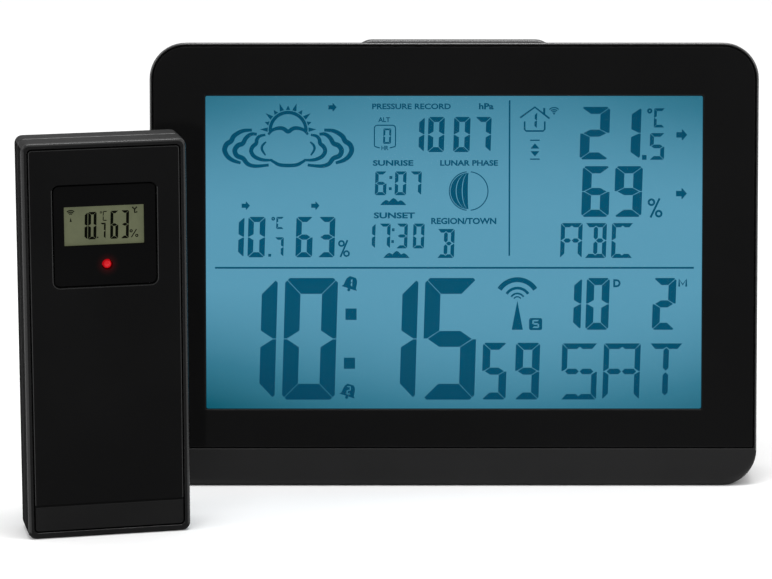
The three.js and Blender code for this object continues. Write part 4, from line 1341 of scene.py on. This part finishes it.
def draw_key_marks(art):
    """Plain signs beside the keys: a ring, bell, bars, waves, box, warning, and two arrows."""
    height = KEY_HEIGHT + 6.2
    places = [key_place(number) for number in range(len(KEYS))]
    hoop(art, places[0], height, 1.1, 0.35)
    flat(art, [(places[1] + a, height + b) for a, b in
               ((-1.3, -0.9), (1.3, -0.9), (0.9, -0.4), (0.8, 0.6), (0, 1.2), (-0.8, 0.6), (-0.9, -0.4))])
    for bar, tall in enumerate((0.9, 1.6, 2.4)):
        left = places[2] - 1.3 + bar
        box(art, left, left + 0.6, height - 1.2, height - 1.2 + tall)
    draw_waves(art, places[3], height - 1.0, (0.8, 1.5, 2.2), 0.32, 45)
    middle = (places[4], places[4], height, height)
    band(art, grown(middle, 1.1, 0.3, steps=2), 0.35, True)
    band(art, [(places[5] - 1.3, height - 1.0), (places[5] + 1.3, height - 1.0), (places[5], height + 1.2)],
         0.35, True)
    flat(art, [(places[6] - 1.2, height + 0.9), (places[6], height - 1.1), (places[6] + 1.2, height + 0.9)])
    flat(art, [(places[7] - 1.2, height - 0.9), (places[7] + 1.2, height - 0.9), (places[7], height + 1.1)])


def artwork(name, drawing, front, place, finish, body, slot, depth=0.05):
    art = bmesh.new()
    drawing(art)
    install(thick(name, art, front, depth), name, place, finish, body, slot=slot, sharp=30)


def display_stack():
    """The blue display: two panes of glass, the front one stepped back along its top edge."""
    left, right, low, high = LCD
    rear = slab((left, right, low, high), 5.02, 6.1, 0.3, 0.15)
    front = slab((left, right, low, high - 1.6), LCD_FRONT, 5.0, 0.3, 0.12)
    return add_to(rear, front)


# ---------------------------------------------------------------- sensor: shells

def sensor_ring(y, inset):
    face = (-SENSOR_WIDTH / 2, SENSOR_WIDTH / 2, 0, SENSOR_HEIGHT)
    return at(y, grown(face, -inset, max(SENSOR_CORNER - inset, 0.3)))


def panel_ring(box, y, grow, corner):
    return at(y, grown(box, grow, corner + grow))


def framed(name, outer_box, outer, outer_corner, inner_box, inner, inner_corner):
    """A plate with an opening: outer and inner are the (depth, growth) of the rings round each."""
    rings = [panel_ring(outer_box, y, grow, outer_corner) for y, grow in outer]
    rings += [panel_ring(inner_box, y, grow, inner_corner) for y, grow in inner]
    return skin(name, rings, closed=True)


def sensor_front_shell():
    fillet = 1.25
    rings = [sensor_ring(SENSOR_SPLIT - 0.3, 0.15), sensor_ring(SENSOR_SPLIT - 0.45, 0)]
    for step in range(FILLET_STEPS + 1):
        turn = FULL_TURN / 4 * step / FILLET_STEPS
        rings.append(sensor_ring(fillet * (1 - math.sin(turn)), fillet * (1 - math.cos(turn))))
    seat = [(0.0, 0.47), (0.1, 0.38), (0.3, 0.35), (1.8, 0.35)]
    rings += [panel_ring(SENSOR_PANEL, y, grow, 1.0) for y, grow in seat]
    rings += [at(y, outline(-17, 17, 85.2, 105.5, 0.5)) for y in (1.8, 3.2)]
    rings += [sensor_ring(3.2, 2.0), sensor_ring(SENSOR_SPLIT - 0.3, 2.0)]
    shell = skin("sensor_front", rings, closed=True)
    return combine(shell, "DIFFERENCE", [turned([(0.0, 1.7), (6.0, 1.7)], SENSOR_LED)])


def sensor_panel():
    """The flat front plate, with a fine groove across it above a band of coarser texture. The band's lighter
    shade is painted highlight, standing in for a face that tilts up to the light.
    """
    outer = [(1.45, 0.0), (0.4, 0.0), (0.18, -0.09), (0.1, -0.3)]
    inner = [(0.1, 0.3), (0.17, 0.09), (0.4, 0.0), (1.45, 0.0)]
    plate = framed("panel", SENSOR_PANEL, outer, 1.0, SENSOR_WINDOW, inner, 2.0)
    top = SENSOR_BAND + 0.45
    groove = skin("groove", [
        at(-1.0, outline(-24, 24, top - 1.8, top)), at(0.1, outline(-24, 24, top - 0.8, top)),
        at(0.5, outline(-24, 24, SENSOR_BAND, top)),
    ])
    combine(plate, "DIFFERENCE", [groove])
    # The band below the groove takes coarse_black: a coarser grain, and a lighter shade painted on to stand
    # in for the light it catches from above.
    plate.data.materials.append(FINISH["sensor_black"])
    plate.data.materials.append(FINISH["coarse_black"])
    for face in plate.data.polygons:
        face.material_index = 1 if face.center.z < SENSOR_BAND + 0.1 else 0
    return plate


def sensor_window():
    """The polished window plate round the sensor's display and lamp."""
    outer = [(1.45, -0.35), (0.7, -0.35), (0.56, -0.42), (0.5, -0.55)]
    inner = [(0.5, 0.2), (0.56, 0.06), (0.7, 0.0), (1.45, 0.0)]
    plate = framed("window", SENSOR_WINDOW, outer, 2.0, SENSOR_LCD, inner, 0.2)
    hole = turned([(0.0, 2.1), (0.5, 1.7), (0.7, 1.6), (2.0, 1.6)], SENSOR_LED)
    return combine(plate, "DIFFERENCE", [hole])


def sensor_display():
    """The reading area of the sensor's display, in front of its dark-edged rear pane."""
    return slab((-14.2, 14.2, 86.6, 103.0), 1.8, 2.7, 0.2, 0.1)


def sensor_display_back():
    return slab((-16.6, 16.6, 85.6, 105.1), 2.72, 3.8, 0.2, 0.12)


def sensor_lamp():
    """A round LED with a domed end."""
    profile = [(5.0, 1.3), (1.5, 1.3)]
    for step in range(1, 7):
        turn = FULL_TURN / 4 * step / 6.5
        profile.append((1.5 - 0.8 * math.sin(turn), 1.3 * math.cos(turn)))
    return turned(profile, SENSOR_LED)


def sensor_rear_shell():
    inner = [(16.4, 3.0), (14.0, 2.2), (9.8, 2.2), (9.0, 3.4), (6.4, 3.4)]
    rings = [sensor_ring(y, inset) for y, inset in inner]
    rings += [sensor_ring(6.4, 2.35), sensor_ring(SENSOR_SPLIT, 2.35)]
    rings += [sensor_ring(SENSOR_SPLIT, 0.15), sensor_ring(SENSOR_SPLIT + 0.15, 0), sensor_ring(14.0, 0.08)]
    fillet, start = 2.7, SENSOR_DEPTH - 2.7
    for step in range(FILLET_STEPS + 1):
        turn = FULL_TURN / 4 * step / FILLET_STEPS
        rings.append(sensor_ring(start + fillet * math.sin(turn), 0.1 + fillet * (1 - math.cos(turn))))
    shell = skin("sensor_rear", rings)
    left, right, low, high = SENSOR_DOOR
    blocks = [
        slab((-13.2, 13.2, 10.4, 62.6), 3.6, 16.9),
        slab((-13.2, 13.2, 61.2, 73.6), 7.6, 16.9),
        slab((left - 1.6, right + 1.6, low - 1.6, high + 1.6), 14.9, 16.9),
    ]
    back = SENSOR_DEPTH
    tools = [
        slab(SENSOR_BAY, SENSOR_BAY_FLOOR, back + 1, 0.8),
        slab(SWITCH_BAY, 9.0, back + 1, 0.8),
        well(box_shape(*SENSOR_DOOR, 1.0), back - 1.5, back, 0.25),
        slab((-10.6, -2.0, 65.8, 69.2), 6.0, 10.0, 0.3),
        turned([(6.0, 2.2), (10.0, 2.2)], SEND_KEY),
        *hanger_wells(0, 102, 3.6, 1.6, 108.5, 15.4, back),
    ]
    tools += slots(-7, 7, 82, 1.4, 3, 4, 15.4, back)
    combine(shell, "UNION", blocks)
    return combine(shell, "DIFFERENCE", tools)


def selector_knob():
    """The channel slider, with ridges on its grip."""
    base = slab((-10.2, -7.0, 66.2, 68.8), 7.5, 8.6, 0.3, 0.1)
    grip = slab((-9.6, -7.6, 66.6, 68.4), 8.4, 11.2, 0.3, 0.15)
    grooves = [slab((-9.45 + 0.6 * n, -9.2 + 0.6 * n, 66, 69), 10.9, 12) for n in range(3)]
    combine(base, "UNION", [grip])
    return combine(base, "DIFFERENCE", grooves)


def send_key():
    profile = [(8.0, 1.8), (10.9, 1.8), (11.15, 1.7), (11.28, 1.45), (11.25, 0.9), (11.15, 0.4)]
    return turned(profile, SEND_KEY)


# ---------------------------------------------------------------- assembly

def build_station():
    install(front_shell(), "front_shell", STATION, "satin_black", "station", "front_case",
            polish_from=CHIN_TOP + 1)
    install(front_fascia(), "gloss_fascia", STATION, "gloss_black", "station", "front_fascia")
    install(rear_shell(), "rear_shell", STATION, "satin_black", "station", "rear_case")
    for number, place in enumerate(SCREWS, 1):
        install(case_screw(*place), f"shell_screw_{number}", STATION, "nickel_steel", "station",
                f"case_screw_{number}")
    install(display_stack(), "blue_lcd", STATION, "blue_display", "station", "display_glass")
    for name, drawing in (("lcd_numbers", draw_numbers), ("lcd_signs", draw_signs),
                          ("lcd_captions", draw_captions)):
        artwork(name, drawing, LCD_FRONT - 0.06, STATION, "segment_ink", "station", "blue_display")
    artwork("lcd_cutouts", draw_cutouts, LCD_FRONT - 0.095, STATION, "blue_display", "station",
            "blue_display", 0.03)
    artwork("key_marks", draw_key_marks, CASE_DEPTH + 0.005, STATION, "marking_grey", "station",
            "satin_black", 0.04)


def build_station_movers():
    install(snooze_bar(), "snooze_bar", STATION, "satin_black", "snooze", "snooze_button", polish_from=0)
    for number, name in enumerate(KEYS):
        install(rear_key(number), f"rubber_key_{name}", STATION, "black_rubber", f"{name}_key",
                f"key_{name}")
    install(foot_plate(), "foot_plate", FOOT, "satin_black", "foot", "stand_foot")
    for side, label in ((-1, "left"), (1, "right")):
        install(foot_pad(side), f"foot_pad_{label}", FOOT, "black_rubber", "foot")
    install(battery_cover(DOOR, CASE_DEPTH, 1.6, 1.5, 4), "battery_cover_plate", STATION, "satin_black",
            "battery_cover", "battery_door")


def build_sensor():
    for piece, name, node, polish_from in (
        (matt_sides(sensor_front_shell()), "front_shell", "sensor_front_case", 0),
        (sensor_panel(), "panel", "sensor_panel", SENSOR_BAND + 1),
        (matt_sides(sensor_rear_shell()), "rear_shell", "sensor_rear_case", 0),
    ):
        install(piece, f"outdoor_{name}", SENSOR, "sensor_case", "sensor", node, slot="satin_black",
                polish_from=polish_from, polish="sensor_edge")
    install(sensor_window(), "outdoor_window", SENSOR, "sensor_window", "sensor", "sensor_window",
            slot="gloss_black")
    install(sensor_display(), "outdoor_lcd", SENSOR, "grey_display", "sensor", "sensor_display")
    install(sensor_lamp(), "outdoor_lamp", SENSOR, "red_lens", "sensor", "sensor_led")
    install(sensor_display_back(), "outdoor_lcd_back", SENSOR, "gloss_black", "sensor", slot="grey_display")
    artwork("outdoor_lcd_signs", draw_sensor_face, 1.74, SENSOR, "sensor_ink", "sensor", "grey_display")
    install(selector_knob(), "selector_knob", SENSOR, "white_plastic", "sensor_selector",
            "sensor_channel_switch")
    install(send_key(), "send_key", SENSOR, "black_rubber", "sensor_sender", "sensor_send_button")
    install(battery_cover(SENSOR_DOOR, SENSOR_DEPTH, 1.5, 1.0, 3), "outdoor_cover_plate", SENSOR,
            "sensor_black", "sensor_cover", "sensor_battery_door", slot="satin_black")


def build_cells(place, body, xs, middle, low, contacts, names):
    """Lays AAA cells side by side, the second one upside down, between their sprung contacts.
    names are how the cells, their nodes, the contacts and their nodes begin."""
    cell_name, cell_node, contact_name, contact_node = names
    for number, x in enumerate(xs, 1):
        install(cell(x, middle, low, number == 2), f"{cell_name}_{number}", place, "cell_wrap", body,
                f"{cell_node}_{number}")
    for name, plate, cells, lifts in contacts:
        install(contact(plate, middle, cells, lifts), f"{contact_name}_{name}", place, "nickel_steel",
                body, f"{contact_node}_{name}")


def build_station_cells():
    xs = (-74.8, -64.0, -53.2)
    under, over = BAY[2] + 0.4, BAY[3] - 1.2
    contacts = (
        ("low_pair", under, xs[:2], (1.8, 1.5)), ("low_single", under, xs[2:], (1.8,)),
        ("high_single", over, xs[:1], (-1.2,)), ("high_pair", over, xs[1:], (-1.8, -1.2)),
    )
    build_cells(STATION, "station", xs, BAY_FLOOR + 0.45 + CELL_RADIUS, BAY[2] + 3.4, contacts,
                ("cell", "battery", "sprung", "contact"))


def build_sensor_cells():
    xs = (-5.6, 5.6)
    under, over = SENSOR_BAY[2] + 0.35, SENSOR_BAY[3] - 1.15
    contacts = (
        ("pair", under, xs, (0.9, 0.9)), ("left", over, xs[:1], (-0.8,)), ("right", over, xs[1:], (-0.8,)),
    )
    build_cells(SENSOR, "sensor", xs, SENSOR_BAY_FLOOR + 0.35 + CELL_RADIUS, SENSOR_BAY[2] + 2.4, contacts,
                ("outdoor_cell", "sensor_battery", "outdoor_contact", "sensor_contact"))


def dress_cad_nodes():
    """Gives every CAD node that still shows the finish of its slot in the record."""
    for part in frame["record"]["subparts"]:
        node = frame["nodes"][part["node"]]
        node.data.materials.clear()
        node.data.materials.append(FINISH[part["material_slot"]])


set_stage()
FINISH = make_materials()
build_station()
build_station_movers()
build_station_cells()
build_sensor()
build_sensor_cells()
dress_cad_nodes()
